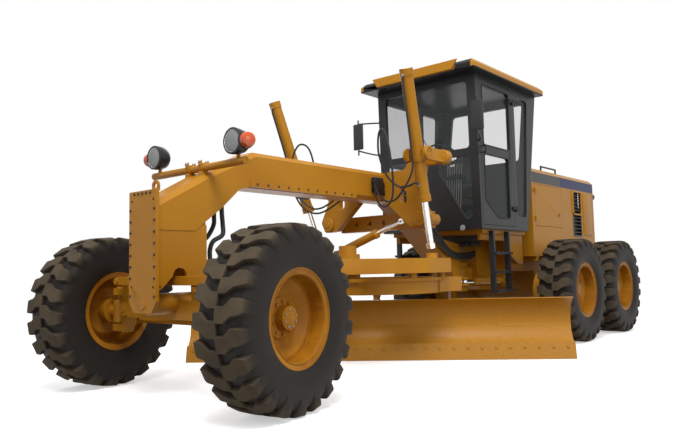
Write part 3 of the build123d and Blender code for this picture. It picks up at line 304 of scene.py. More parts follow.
def grid(points, closeRows=False, closeColumns=True, capped=True):
    # a surface from points[row, column]; capped closes its first and last rows with flat faces
    points = np.asarray(points, float)
    rows, columns = points.shape[:2]
    faces = gridFaces(rows, columns, closeRows, closeColumns).tolist()
    if capped and not closeRows:
        faces += [list(range(columns))[::-1], list(range((rows - 1) * columns, rows * columns))]
    return points.reshape(-1, 3), faces


def repeat(chunk, frames):             # copies of a chunk at each 4x4 frame
    points, faces = chunk
    placed = np.einsum("kij,nj->kni", frames[:, :3, :3], points) + frames[:, None, :3, 3]
    if np.linalg.det(frames[0][:3, :3]) < 0:
        faces = [face[::-1] for face in faces]
    every = [[index + copy * len(points) for index in face] for copy in range(len(frames)) for face in faces]
    return placed.reshape(-1, 3), every


def join(chunks):                      # several chunks as one
    points, faces, start = [], [], 0
    for chunkPoints, chunkFaces in chunks:
        points.append(chunkPoints)
        faces += [[index + start for index in face] for face in chunkFaces]
        start += len(chunkPoints)
    return np.concatenate(points), faces


def piece(name, chunk, look, body, bevel=0.0, segments=2, smoothAngle=35, values=None):
    # a mesh object from a chunk, in its look, riding a body
    points, faces = chunk
    mesh = bpy.data.meshes.new(name)
    mesh.from_pydata(points.tolist(), [], faces)
    if values:
        for label, numbers in values.items():
            mesh.attributes.new(label, "FLOAT", "POINT").data.foreach_set("value", numbers)
    work = bmesh.new()
    work.from_mesh(mesh)
    bmesh.ops.remove_doubles(work, verts=work.verts, dist=1e-6)
    bmesh.ops.recalc_face_normals(work, faces=work.faces)
    work.to_mesh(mesh)
    work.free()
    mesh.materials.append(looks[look])
    obj = bpy.data.objects.new(name, mesh)
    scene.collection.objects.link(obj)
    finishEdges(obj, bevel, segments, smoothAngle)
    if body:
        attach(obj, body)
    return obj


def finishEdges(obj, bevel, segments, smoothAngle):
    # edges sharper than smoothAngle degrees are kept and rounded by bevel; round faces are shaded smooth
    mesh = obj.data
    mesh.polygons.foreach_set("use_smooth", np.ones(len(mesh.polygons), bool))
    mesh.set_sharp_from_angle(angle=math.radians(smoothAngle))
    if bevel:
        rounded = obj.modifiers.new("roundedEdges", "BEVEL")
        rounded.width, rounded.segments, rounded.limit_method = bevel, segments, "ANGLE"
        rounded.angle_limit = math.radians(smoothAngle)
        rounded.harden_normals = True
        rounded.use_clamp_overlap = True


def dress(node, look, bevel):
    # a merged copy of a solid, with rounded edges, standing for it
    mesh = frame["nodes"][node].data.copy()
    mesh.name = f"{node}Shell"
    work = bmesh.new()
    work.from_mesh(mesh)
    bmesh.ops.remove_doubles(work, verts=work.verts, dist=2e-5)
    bmesh.ops.dissolve_limit(work, angle_limit=math.radians(0.5), verts=work.verts, edges=work.edges)
    work.to_mesh(mesh)
    work.free()
    mesh.materials.clear()
    mesh.materials.append(looks[look])
    obj = bpy.data.objects.new(f"{node}Shell", mesh)
    scene.collection.objects.link(obj)
    finishEdges(obj, bevel, segments=2, smoothAngle=28)
    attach(obj, bodyOf[node])
    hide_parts(node)
    return obj


def glaze(obj, low, high):             # the faces lying between two distances from the middle line become glass
    mesh = obj.data
    mesh.materials.append(looks["glass"])
    for face in mesh.polygons:
        away = [abs(mesh.vertices[index].co.y) for index in face.vertices]
        face.material_index = int(min(away) > low and max(away) < high)


def placing(origin, towards, up=(0, 0, 1)):
    # a 4x4 frame at origin whose third axis points towards, and whose first lies nearest to up
    third = np.array(towards, float) / np.linalg.norm(towards)
    first = np.array(up, float) - third * np.dot(up, third)
    if np.linalg.norm(first) < 1e-6:
        first = np.array((1.0, 0, 0)) - third * third[0]
    first /= np.linalg.norm(first)
    made = np.eye(4)
    made[:3, 0], made[:3, 1], made[:3, 2], made[:3, 3] = first, np.cross(third, first), third, origin
    return made


def turned(profile, count=48, closed=False):
    # a profile of (radius, height) carried round the third axis: x = r cos a, y = r sin a, z = h
    profile = np.array(profile, float)
    angle = np.linspace(0, 2 * np.pi, count, endpoint=False)[None, :]
    radius, height = profile[:, 0][:, None], profile[:, 1][:, None]
    points = np.stack([radius * np.cos(angle), radius * np.sin(angle), height + 0 * angle], -1)
    return grid(points, closeRows=closed, capped=not closed)


def at(chunk, frame4):                 # a chunk moved into a 4x4 frame
    points, faces = chunk
    return points @ frame4[:3, :3].T + frame4[:3, 3], faces


def slab(low, high, radius=0.0, steps=3):
    # a box with round edges: each direction n on a sphere gives sign(n) * core + radius * n
    low, high = np.minimum(low, high), np.maximum(low, high)
    middle, half = (low + high) / 2, (high - low) / 2
    radius = min(radius, half.min() * 0.98) or half.min() * 0.02
    quarter = np.linspace(0.02, 1.55, steps)
    up = np.concatenate([-quarter[::-1], quarter])[:, None]
    around = np.concatenate([quarter + k * np.pi / 2 for k in range(4)])[None, :]
    normal = np.stack([np.cos(up) * np.cos(around), np.cos(up) * np.sin(around), np.sin(up) + 0 * around], -1)
    return grid(middle + np.sign(normal) * (half - radius) + normal * radius)


def smoothLine(points, count):
    # a Catmull-Rom curve through the points, sampled evenly
    points = np.array(points, float)
    padded = np.vstack([2 * points[0] - points[1], points, 2 * points[-1] - points[-2]])
    share = np.linspace(0, len(points) - 1 - 1e-9, count)
    index = share.astype(int)
    t = (share - index)[:, None]
    a, b, c, d = (padded[index + k] for k in range(4))
    return 0.5 * (2 * b + (c - a) * t + (2 * a - 5 * b + 4 * c - d) * t ** 2 + (3 * b - a - 3 * c + d) * t ** 3)


def tube(path, radius, around=12):
    # a circle carried along a path, each ring square to the path and turned as little as possible
    path = np.array(path, float)
    along = np.gradient(path, axis=0)
    along /= np.linalg.norm(along, axis=1)[:, None]
    side = np.zeros_like(path)
    start = np.cross(along[0], (0.0, 0.0, 1.0))
    side[0] = start if np.linalg.norm(start) > 1e-3 else np.cross(along[0], (0.0, 1.0, 0.0))
    for index in range(1, len(path)):
        side[index] = side[index - 1] - along[index] * np.dot(side[index - 1], along[index])
    side /= np.linalg.norm(side, axis=1)[:, None]
    other = np.cross(along, side)
    angle = np.linspace(0, 2 * np.pi, around, endpoint=False)
    radius = np.broadcast_to(radius, len(path))[:, None, None]
    ring = np.cos(angle)[None, :, None] * side[:, None] + np.sin(angle)[None, :, None] * other[:, None]
    return grid(path[:, None] + radius * ring)


def rod(start, end, radius, count=24):  # a straight round bar
    return tube([start, end], radius, count)


def boltHead(radius, height):          # a hexagon head on a washer
    washer = turned(((radius * 1.25, 0), (radius * 1.25, height * 0.2)), 20)
    head = turned(((radius, height * 0.2), (radius, height * 0.88), (radius * 0.86, height)), 6)
    return join([washer, head])


def ringPlaces(here, radius, height, count, first=0.0):
    # places round the third axis of a 4x4 frame: x = r cos a, y = r sin a, z = height
    return [here[:3, :3] @ (radius * math.cos(a), radius * math.sin(a), height) + here[:3, 3]
            for a in np.linspace(first, 2 * np.pi + first, count, endpoint=False)]


def bolts(places, towards, radius=0.012, height=0.010):
    # bolt heads at places, all facing one way
    frames = np.array([placing(place, towards) for place in places])
    return repeat(boltHead(radius, height), frames)


tyreSettings = {"lugs": 22, "around": 132, "lugRadius": 0.66}      # lugRadius turns a length on the tread to an angle


def tyreChunk():
    # the carcass is a smooth section carried round the axle; each lug is a bar with sloping walls that bends
    # from the middle of the tread over the shoulder, its place along the tread given by a curve in the width
    count = tyreSettings["lugs"]
    across = ((-0.150, 0.330), (-0.176, 0.347), (-0.198, 0.372), (-0.2185, 0.44), (-0.2215, 0.50),
              (-0.2135, 0.565), (-0.190, 0.612), (-0.150, 0.632), (-0.075, 0.640), (0, 0.642))
    section = np.array(across + tuple((-w, r) for w, r in across[-2::-1]))
    section = smoothLine(section, 57)
    section = np.vstack([section, [(0.12, 0.326), (-0.12, 0.326)]])
    carcass = turned(section[:, ::-1], tyreSettings["around"], closed=True)
    width = np.array((-0.006, 0.030, 0.068, 0.076, 0.118, 0.126, 0.160, 0.186, 0.206, 0.2155, 0.2185, 0.2190))
    shift = np.interp(width, (0, 0.070, 0.124, 0.22), (-0.030, -0.028, 0.018, 0.030))      # along the tread
    halfWide = np.interp(width, (0, 0.068, 0.124, 0.185, 0.219), (0.054, 0.056, 0.060, 0.056, 0.038))
    top = np.array((0.672, 0.674, 0.674, 0.674, 0.673, 0.673, 0.671, 0.667, 0.656, 0.634, 0.590, 0.545))
    foot = np.array((0.634, 0.634, 0.633, 0.632, 0.628, 0.626, 0.618, 0.605, 0.585, 0.560, 0.545, 0.525))
    spread = np.array((-1.13, -1.0, -0.97, 0.97, 1.0, 1.13))
    level = np.array((0.0, 0.86, 1.0, 1.0, 0.86, 0.0))
    radius = foot[:, None] + (top - foot)[:, None] * level[None, :]
    angle = -(shift[:, None] + halfWide[:, None] * spread[None, :]) / tyreSettings["lugRadius"]
    bar = np.stack([radius * np.cos(angle), radius * np.sin(angle), width[:, None] + 0 * angle], -1)
    lug = grid(bar)
    other = (bar * (1, 1, -1)).reshape(-1, 3), [face[::-1] for face in lug[1]]
    frames = []
    for turn in range(count):
        made = np.eye(4)
        a = 2 * np.pi * turn / count
        made[:2, :2] = ((np.cos(a), -np.sin(a)), (np.sin(a), np.cos(a)))
        frames.append(made)
    frames = np.array(frames)
    halfStep = np.eye(4)
    a = np.pi / count
    halfStep[:2, :2] = ((np.cos(a), -np.sin(a)), (np.sin(a), np.cos(a)))
    lugs = join([repeat(lug, frames), repeat(other, frames @ halfStep)])
    fade = np.interp(top, (0.60, 0.66), (0.0, 1.0))        # no dust down the sidewall
    return carcass, lugs, np.tile((fade[:, None] * level[None, :] ** 3).ravel(), 2 * count)


carcass, lugs, lugDust = tyreChunk()
wheelNames = ("front_left", "front_right", "rear_left_fore", "rear_left_aft", "rear_right_fore", "rear_right_aft")
steerRest = math.radians(8)
wheelSettings = {"nuts": 10, "nutCircle": 0.118, "nutFace": 0.021, "nutSize": (0.013, 0.016),
                 "capBolts": 8, "capCircle": 0.064, "capFace": 0.098, "capTurn": 0.3, "capBoltSize": (0.006, 0.006)}
for name in wheelNames:
    low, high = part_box(f"rim_{name}")
    centre = np.array((low + high) / 2)
    side = 1 if "left" in name else -1
    outward = np.array((0, side, 0.0))
    if name.startswith("front"):
        outward = side * np.array((-math.sin(steerRest), math.cos(steerRest), 0))
    here = placing(centre, outward)
    body = f"wheel_{name}"
    shell = piece(f"tyreCarcass_{name}", at(carcass, here), "tyre", body, smoothAngle=60,
                  values={"tread": np.zeros(len(carcass[0])), "reach": np.hypot(*carcass[0][:, :2].T)})
    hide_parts(f"tyre_{name}")
    piece(f"tyreLugs_{name}", at(lugs, here), "tyre", body, bevel=0.004, segments=1,
          values={"tread": lugDust})
    dress(f"rim_{name}", "wheel", 0.003)
    ring = ringPlaces(here, wheelSettings["nutCircle"], wheelSettings["nutFace"], wheelSettings["nuts"])
    piece(f"wheelNuts_{name}", bolts(ring, outward, *wheelSettings["nutSize"]), "wheel", body, bevel=0.0015)
    steps = [((0.352, 0.1835), (0.358, 0.187), (0.352, 0.1905), (0.346, 0.187)),
             ((0.312, 0.172), (0.3155, 0.176), (0.312, 0.180), (0.308, 0.176))]
    rings = join([turned(step, 96, closed=True) for step in steps])
    piece(f"rimRings_{name}", at(rings, here), "wheel", body, smoothAngle=70)
    capRing = ringPlaces(here, wheelSettings["capCircle"], wheelSettings["capFace"], wheelSettings["capBolts"],
                         wheelSettings["capTurn"])
    piece(f"hubBolts_{name}", bolts(capRing, outward, *wheelSettings["capBoltSize"]), "steel", body)
print("wheels done")

bevels = {"front_frame": 0.006, "rear_frame": 0.005, "engine_hood": 0.012, "cab_roof": 0.02, "blade": 0.003,
          "lift_linkage": 0.005, "drawbar": 0.006, "circle": 0.005, "tandem_case_left": 0.012,
          "tandem_case_right": 0.012}
finishes = {"engine_hood": "hood", "hood_door_left": "hood", "hood_door_right": "hood", "cab_roof": "roof",
            "blade": "blade", "engine_block": "iron"}
slotLooks = {"paint": "yellow", "black_paint": "black", "chrome": "chrome", "steel": "steel", "blade_steel": "blade"}
doorPane = (0.7035, 0.7125)            # the door panes' two faces, from the middle line
madeElsewhere = ("head_lamps", "rear_lamps", "hydraulic_hoses", "mirrors", "cab_glass", "grille_panels",
                 "operator_station")
for node in bodyOf:
    if node.startswith(("tyre_", "rim_")) or node in madeElsewhere:
        continue
    shell = dress(node, finishes.get(node, slotLooks[slotOf[node]]), bevels.get(node, 0.003))
    if node.startswith("cab_door"):
        glaze(shell, *doorPane)
print("solids dressed")

for node, look in (("cab_glass", "glass"), ("grille_panels", "black")):
    frame["nodes"][node].data.materials.clear()
    frame["nodes"][node].data.materials.append(looks[look])

lampSettings = {"x": behind(0.155), "y": 0.54, "z": 2.045, "radius": 0.108, "depth": 0.150, "barHeight": 1.885}


def lamp(centre, towards, radius, depth):
    # housing, bezel, bowl and lens are profiles turned round the lamp's line
    here = placing(centre, towards)
    housing = turned(((0.02, -depth * 0.52), (radius * 0.55, -depth * 0.50), (radius * 0.80, -depth * 0.36),
                      (radius * 0.95, -depth * 0.10), (radius, depth * 0.20), (radius, depth * 0.42),
                      (radius * 0.90, depth * 0.48), (radius * 0.86, depth * 0.40)), 48)
    bowl = turned(((0.012, -depth * 0.05), (radius * 0.5, depth * 0.10), (radius * 0.78, depth * 0.28),
                   (radius * 0.86, depth * 0.41), (radius * 0.84, depth * 0.41), (radius * 0.5, depth * 0.08),
                   (0.012, -depth * 0.07)), 48)
    lens = turned(((radius * 0.86, depth * 0.39), (radius * 0.86, depth * 0.43), (radius * 0.6, depth * 0.485),
                   (radius * 0.3, depth * 0.505), (0.004, depth * 0.51)), 48)
    return at(housing, here), at(bowl, here), at(lens, here)


barX, barZ = lampSettings["x"] - 0.005, lampSettings["barHeight"]
bar = rod((barX, -0.63, barZ), (barX, 0.63, barZ), 0.032, 32)
posts = [rod((barX, side * lampSettings["y"], barZ), (barX, side * lampSettings["y"], lampSettings["z"]), 0.016)
         for side in (-1, 1)]
lampBar = piece("lampBar", join([bar] + posts), "yellow", "front", bevel=0.003)
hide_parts("head_lamps")
for side, label in bothSides:
    centre = (lampSettings["x"], side * lampSettings["y"], lampSettings["z"])
    housing, bowl, lens = lamp(centre, (1, 0, 0), lampSettings["radius"], lampSettings["depth"])
    piece(f"headLampHousing_{label}", housing, "black", "front")
    piece(f"headLampBowl_{label}", bowl, "reflector", "front")
    piece(f"headLampLens_{label}", lens, "lens", "front")
    marker = placing((centre[0] + 0.005, side * 0.640, centre[2] - 0.004), (0.25, side, 0))
    base = turned(((0.004, -0.016), (0.066, -0.012), (0.070, 0.004), (0.066, 0.012), (0.004, 0.012)), 32)
    dome = turned(((0.062, 0.010), (0.063, 0.044), (0.054, 0.064), (0.030, 0.074), (0.002, 0.076)), 32)
    piece(f"markerBase_{label}", at(base, marker), "black", "front")
    piece(f"markerDome_{label}", at(dome, marker), "amber", "front")
clampSettings = {"places": (-0.105, -0.075, 0.075, 0.105), "radius": 0.0315, "wire": 0.007}
bends = []
# each clamp is a round wire bent over the bar, its ends standing up with nuts
for y in clampSettings["places"]:
    angle = np.linspace(0, 2 * np.pi, 25)
    reach = clampSettings["radius"] + clampSettings["wire"] * 0.6
    loop = np.stack([barX + reach * np.cos(angle), y + 0 * angle, barZ + reach * np.sin(angle)], -1)
    bends.append(tube(loop, clampSettings["wire"], 8))
    for way in (-1, 1):
        foot = (barX + way * reach, y, barZ + 0.01)
        bends.append(rod(foot, (foot[0], y, foot[2] + 0.052), 0.006, 8))
        bends.append(at(boltHead(0.010, 0.012), placing((foot[0], y, foot[2] + 0.030), (0, 0, 1))))
piece("lampBarClamps", join(bends), "yellow", "front")
print("lamps done")

for side, label in bothSides:
    lines = [smoothLine(((behind(3.748), side * 0.742, low), (behind(3.66), side * 0.80, low + (high - low) * 0.2),
                         (behind(3.45), side * 0.88, high)), 14) for low, high in ((2.52, 2.56), (2.96, 2.92))]
    arms = [tube(line, 0.010) for line in lines]
    post = rod((behind(3.45), side * 0.88, 2.50), (behind(3.45), side * 0.88, 2.97), 0.010, 16)
    feet = [slab((behind(3.768), side * 0.7303, z - 0.015), (behind(3.728), side * 0.754, z + 0.015), 0.004)
            for z in (2.52, 2.96)]
    frameWork = piece(f"mirrorArms_{label}", join(arms + [post] + feet), "black", "rear")
    if side > 0:
        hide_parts("mirrors")
    shell = slab((behind(3.465), side * 0.803, 2.575), (behind(3.438), side * 0.962, 2.922), 0.013, 4)
    piece(f"mirrorShell_{label}", shell, "plastic", "rear")
    face = slab((behind(3.468), side * 0.816, 2.590), (behind(3.4645), side * 0.949, 2.907), 0.0016)
    piece(f"mirrorFace_{label}", face, "chrome", "rear")
print("mirrors done")

hoseSettings = {"radius": 0.020}
hoseRuns = []
for side in (-1, 1):
    y = side * 0.052
    stops = ((0.380, 1.0, 1.600), (0.383, 1.05, 1.50), (0.384, 1.2, 1.42), (0.352, 1.9, 1.325), (0.27, 1.5, 1.27),
             (0.246, 1.2, 1.20), (0.245, 1.2, 1.116))      # behind the axle, a share of y, and height
    hoseRuns.append(smoothLine([(behind(back), y * out, up) for back, out, up in stops], 40))
noseTubes = join([tube(run, hoseSettings["radius"], 16) for run in hoseRuns])
hoses = piece("noseHoses", noseTubes, "hose", "front", smoothAngle=60)
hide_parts("hydraulic_hoses")
for side, label in bothSides:
    here = (behind(7.92), side * 0.52, 2.13)
    housing, bowl, lens = lamp(here, (-1, 0, 0), 0.056, 0.085)
    bracket = slab((behind(7.80), side * 0.505, 2.1155), (behind(7.9), side * 0.535, 2.1445), 0.002)
    shell = piece(f"rearLampHousing_{label}", join([housing, bracket]), "black", "rear")
    if side > 0:
        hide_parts("rear_lamps")
    piece(f"rearLampLens_{label}", lens, "red", "rear")
workLamp = (behind(3.715), 0.50, 1.475)
housing, bowl, lens = lamp(workLamp, (1, 0, 0), 0.040, 0.060)
stalk = rod((behind(3.76), 0.50, 1.475), (behind(3.735), 0.50, 1.475), 0.012, 16)
piece("workLampHousing", join([housing, stalk]), "black", "rear")
piece("workLampBowl", bowl, "reflector", "rear")
piece("workLampLens", lens, "lens", "rear")
print("rear lamps done")

boltSettings = {"nose": 0.009, "strip": 0.009}
noseFace = frontAxle + 0.368
edgeHeights = (0.83, 0.97, 1.06, 1.15, 1.24, 1.33, 1.42, 1.51)
nosePlaces = [(noseFace, side * 0.166, z) for side in (-1, 1) for z in edgeHeights]
nosePlaces += [(noseFace, y, 1.637) for y in (-0.11, -0.055, 0.0, 0.055, 0.11)]
piece("noseBolts", bolts(nosePlaces, (1, 0, 0), boltSettings["nose"]), "iron", "front")
for side, label in bothSides:
    strip = [(behind(x), side * 0.166, 1.784) for x in np.arange(0.70, 2.06, 0.132)]
    heads = bolts(strip, (0, side, 0), boltSettings["strip"], 0.008)
    piece(f"neckStripBolts_{label}", heads, "iron", "front")

# the lifting eye is a flat ring section carried round half a circle, on a foot
eye = turned(((0.022, -0.009), (0.046, -0.009), (0.046, 0.009), (0.022, 0.009)), 40, closed=True)
eyeFrame = placing((noseFace - 0.055, 0.105, 1.693), (1, 0, 0))
eyeFoot = slab((noseFace - 0.066, 0.058, 1.655), (noseFace - 0.044, 0.152, 1.672), 0.003)
piece("liftingEye", join([at(eye, eyeFrame), eyeFoot]), "yellow", "front", bevel=0.002)
retainer = slab((noseFace, -0.05, 0.742), (noseFace + 0.0055, 0.05, 0.792), 0.002)
piece("pinRetainer", retainer, "yellow", "front")

bladeAngle = math.radians(36.5)
bladeFront = np.array((math.cos(bladeAngle), math.sin(bladeAngle), 0))
bladeAlong = np.array((-math.sin(bladeAngle), math.cos(bladeAngle), 0))
circleMiddle = np.array((behind(2.6), 0, 0))


def onBlade(ahead, along, up):         # a place given in the blade's turned frame
    return circleMiddle + bladeFront * ahead + bladeAlong * along + np.array((0, 0, up))


edgePlaces = [onBlade(0.0866, y, 0.130) for y in np.arange(-2.05, 2.06, 0.152)]
edgeFacing = bladeFront * 0.98 + np.array((0, 0, 0.18))
piece("cuttingEdgeBolts", bolts(edgePlaces, edgeFacing, 0.012, 0.005), "blade", "blade")
liftLine = (np.array((2.58, 0.770, 1.170)), np.array((1.97, 0.930, 2.960)))      # ball to top, behind the axle


def onBarrel(side, share, ahead=0.0):  # a place at a share of a lift cylinder's line, and so far ahead of it
    back, out, up = liftLine[0] + (liftLine[1] - liftLine[0]) * share
    return (behind(back - ahead), side * out, up)


axle = onBarrel(1, 0.547)              # where the saddle's yoke holds the left barrel
for side, label in bothSides:          # bosses with bolted caps on the saddle's trunnions
    caps = []
    for y, way in ((axle[1] - 0.112, -1), (axle[1] + 0.112, 1)):
        here = placing((axle[0], side * y, axle[2]), (0, side * way, 0))
        caps.append(at(turned(((0.004, -0.002), (0.072, -0.002), (0.074, 0.020), (0.068, 0.028), (0.052, 0.030),
                               (0.050, 0.024), (0.004, 0.024)), 40), here))
        ring = ringPlaces(here, 0.036, 0.024, 6)
        caps.append(bolts(ring, (0, side * way, 0), 0.008, 0.008))
    piece(f"trunnionCaps_{label}", join(caps), "yellow", "front", bevel=0.0015)
    heel = placing((behind(2.655), side * (axle[1] + 0.082), axle[2]), (1, 0, 0))
    boss = turned(((0.004, -0.006), (0.036, -0.006), (0.040, 0.0), (0.070, 0.002), (0.076, 0.010), (0.076, 0.100),
                   (0.070, 0.108), (0.040, 0.110), (0.036, 0.118), (0.004, 0.118)), 48)
    piece(f"yokeBoss_{label}", at(boss, heel), "yellow", "front", bevel=0.0015)
    lobe = placing((behind(2.558), side * 0.640, 1.530), (1, 0, 0))
    boss = turned(((0.004, 0), (0.080, 0), (0.082, 0.016), (0.072, 0.024), (0.038, 0.026), (0.036, 0.034),
                   (0.004, 0.036)), 40)
    piece(f"linkBoss_{label}", at(boss, lobe), "yellow", "front", bevel=0.0015)
print("bolts done")

seatSettings = {                       # a pad's middle, its half sizes and its roundness along each axis
    "cushion": ((behind(4.4375), 0, 1.8365), (0.262, 0.248, 0.060), (0.35, 0.35, 0.8)),
    "back": ((behind(4.757), 0, 2.235), (0.055, 0.232, 0.325), (0.8, 0.4, 0.35)),
    "lean": 9,                         # degrees the back leans
}


def crowned(centre, axes, half, power, rows=28, columns=44):
    # a cushion: a superellipsoid, each coordinate half * sign(n) |n|^power along its own axis
    up = np.linspace(-np.pi / 2 + 0.02, np.pi / 2 - 0.02, rows)[:, None]
    turnAngle = np.linspace(0, 2 * np.pi, columns, endpoint=False)[None, :]
    level = np.cos(up)
    normal = np.stack([level * np.cos(turnAngle), level * np.sin(turnAngle), np.sin(up) + 0 * turnAngle], -1)
    local = np.sign(normal) * np.abs(normal) ** np.array(power) * np.array(half)
    return grid(local @ np.array(axes) + np.array(centre))


lean = math.radians(seatSettings["lean"])
backAxes = np.array(((math.cos(lean), 0, math.sin(lean)), (0, 1, 0), (-math.sin(lean), 0, math.cos(lean))))
for name, key, axes in (("seatCushion", "cushion", np.eye(3)), ("seatBack", "back", backAxes)):
    middle, half, roundness = seatSettings[key]
    pad = piece(name, crowned(middle, axes, half, roundness), "cloth", "rear", smoothAngle=70)
base = turned(((0.13, 1.512), (0.15, 1.514), (0.15, 1.53), (0.075, 1.56), (0.068, 1.72), (0.16, 1.765),
               (0.16, 1.775)), 32)
seatPost = piece("seatPost", (base[0] + (behind(4.46), 0, 0), base[1]), "plastic", "rear")
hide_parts("operator_station")
rests = [slab((behind(4.68), side * 0.262, 2.06), (behind(4.33), side * 0.315, 2.10), 0.018, 4)
         for side in (-1, 1)]
stalks = [slab((behind(4.60), side * 0.266, 1.86), (behind(4.56), side * 0.300, 2.07), 0.012) for side in (-1, 1)]
piece("armRests", join(rests + stalks), "plastic", "rear")


def prism(outline, low, high):         # a side outline of (behind, height) carried across the machine
    rows = [[(behind(x), y, z) for x, z in outline] for y in (low, high)]
    return grid(rows)


columnSettings = {"levers": 7, "pitch": 0.034, "first": 0.125, "wheelRadius": 0.20, "wheelPlace": (4.10, 0, 2.47)}
column = prism(((3.872, 1.506), (4.08, 1.506), (4.06, 2.05), (3.96, 2.24), (3.89, 2.24)), -0.11, 0.11)
pods = [prism(((3.98, 2.13), (4.07, 2.05), (4.12, 2.26), (4.06, 2.30)), side * 0.12, side * 0.40)
        for side in (-1, 1)]
piece("controlColumn", join([column] + pods), "plastic", "rear", bevel=0.014, segments=3)
levers, knobs = [], []
for side in (-1, 1):                   # a row of long lever rods on each side, their knobs above the pods
    for count in range(columnSettings["levers"]):
        y = side * (columnSettings["first"] + count * columnSettings["pitch"])
        foot, top = (behind(3.955), y * 0.96, 1.56), (behind(4.02), y, 2.33 + 0.01 * (count % 2))
        levers.append(rod(foot, top, 0.0065, 10))
        knobs.append(at(turned(((0.002, -0.02), (0.010, -0.018), (0.015, 0.0), (0.015, 0.022), (0.008, 0.034),
                                (0.002, 0.036)), 16), placing(top, (0, 0, 1))))
piece("controlLevers", join(levers), "steel", "rear")
piece("leverKnobs", join(knobs), "plastic", "rear")
wheelBack, wheelMiddle, wheelHigh = columnSettings["wheelPlace"]
wheelHere = placing((behind(wheelBack), wheelMiddle, wheelHigh), (-0.55, 0, 0.83))
wheelReach = columnSettings["wheelRadius"]
rimAround = np.linspace(0, 2 * np.pi, 12, endpoint=False)
rimSection = [(wheelReach + 0.0135 * math.cos(a), 0.0135 * math.sin(a)) for a in rimAround]
wheelParts = [turned(rimSection, 64, closed=True)]
for a in (0.5 * math.pi, 7 / 6 * math.pi, 11 / 6 * math.pi):
    wheelParts.append(rod((0.03 * math.cos(a), 0.03 * math.sin(a), -0.01),
                          ((wheelReach - 0.004) * math.cos(a), (wheelReach - 0.004) * math.sin(a), 0), 0.010, 10))
wheelParts.append(turned(((0.004, -0.03), (0.030, -0.03), (0.046, -0.006), (0.044, 0.010), (0.004, 0.014)), 32))
piece("steeringWheel", at(join(wheelParts), wheelHere), "plastic", "rear", smoothAngle=50)
shaft = rod((behind(3.99), 0, 2.21), (behind(4.085), 0, 2.452), 0.024, 20)
piece("steeringShaft", shaft, "plastic", "rear")
print("seat done")


def frameTube(corners, radius, body, name, look="hose", rounding=0.04):
    # a rubber seal: a tube carried round a window's outline, its corners turned on short arcs
    corners = np.array(corners, float)
    path = []
    for index, corner in enumerate(corners):
        before, after = corners[index - 1] - corner, corners[(index + 1) % len(corners)] - corner
        start = corner + before / np.linalg.norm(before) * rounding
        end = corner + after / np.linalg.norm(after) * rounding
        t = np.linspace(0, 1, 6)[:, None]
        path.append((1 - t) ** 2 * start + 2 * t * (1 - t) * corner + t ** 2 * end)
    path = np.concatenate(path)
    count = len(path)
    along = np.roll(path, -1, 0) - np.roll(path, 1, 0)
    along /= np.linalg.norm(along, axis=1)[:, None]
    flat = np.cross(corners[1] - corners[0], corners[2] - corners[1])
    flat /= np.linalg.norm(flat)
    side = np.cross(along, flat)
    angle = np.linspace(0, 2 * np.pi, 8, endpoint=False)
    points = path[:, None] + radius * (np.cos(angle)[None, :, None] * side[:, None]
                                       + np.sin(angle)[None, :, None] * flat)
    around = grid(points.reshape(count, 8, 3), closeRows=True, capped=False)
    return piece(name, around, look, body, smoothAngle=70)


for side, label in bothSides:
    y = side * 0.7305
    highPane = ((3.86, 2.48), (4.56, 2.48), (4.56, 3.225), (3.86, 3.225))
    frameTube([(behind(x), y, z) for x, z in highPane], 0.008, f"cab_door_{label}", f"doorSealHigh_{label}")
    lowPane = ((3.87, 1.80), (4.18, 1.60), (4.50, 1.60), (4.50, 2.37), (3.87, 2.37))
    frameTube([(behind(x), y, z) for x, z in lowPane], 0.008, f"cab_door_{label}", f"doorSealLow_{label}")

for side, label in bothSides:
    upperLouvre = ((6.90, 1.79), (7.24, 1.79), (7.24, 2.15), (6.90, 2.15))
    frameTube([(behind(x), side * 0.6055, z) for x, z in upperLouvre], 0.016, "rear", f"louvreFrame_{label}", "hood",
              0.06)
    backing = slab((behind(7.26), side * 0.540, 1.38), (behind(6.88), side * 0.548, 2.17), 0.002)
    piece(f"louvreBacking_{label}", backing, "iron", "rear")
    panel = slab((behind(7.66), side * 0.590, 1.47), (behind(7.33), side * 0.6165, 2.145), 0.016, 4)
    piece(f"radiatorDoor_{label}", panel, "hood", "rear")
    latch = slab((behind(6.375), side * 0.606, 1.725), (behind(6.335), side * 0.6145, 1.765), 0.005)
    piece(f"hoodLatch_{label}", latch, "black", f"hood_door_{label}")

# a wiper: an arm from a boss under the windscreen, and its rubber
wiperFoot = Vector((behind(3.735) + 0.012, 0.08, 2.435))
boss = at(turned(((0.003, 0.0), (0.022, 0.0), (0.022, 0.02), (0.012, 0.03), (0.003, 0.03)), 24),
          placing(wiperFoot, (1, 0, 0)))
arm = tube([(wiperFoot.x + 0.024, 0.08, 2.435), (wiperFoot.x + 0.030, -0.02, 2.62),
            (wiperFoot.x + 0.032, -0.14, 2.86)], 0.006, 8)
blade = slab((wiperFoot.x + 0.018, -0.148, 2.58), (wiperFoot.x + 0.028, -0.134, 3.12), 0.003)
piece("windscreenWiper", join([boss, arm, blade]), "plastic", "rear")
print("cab trim done")

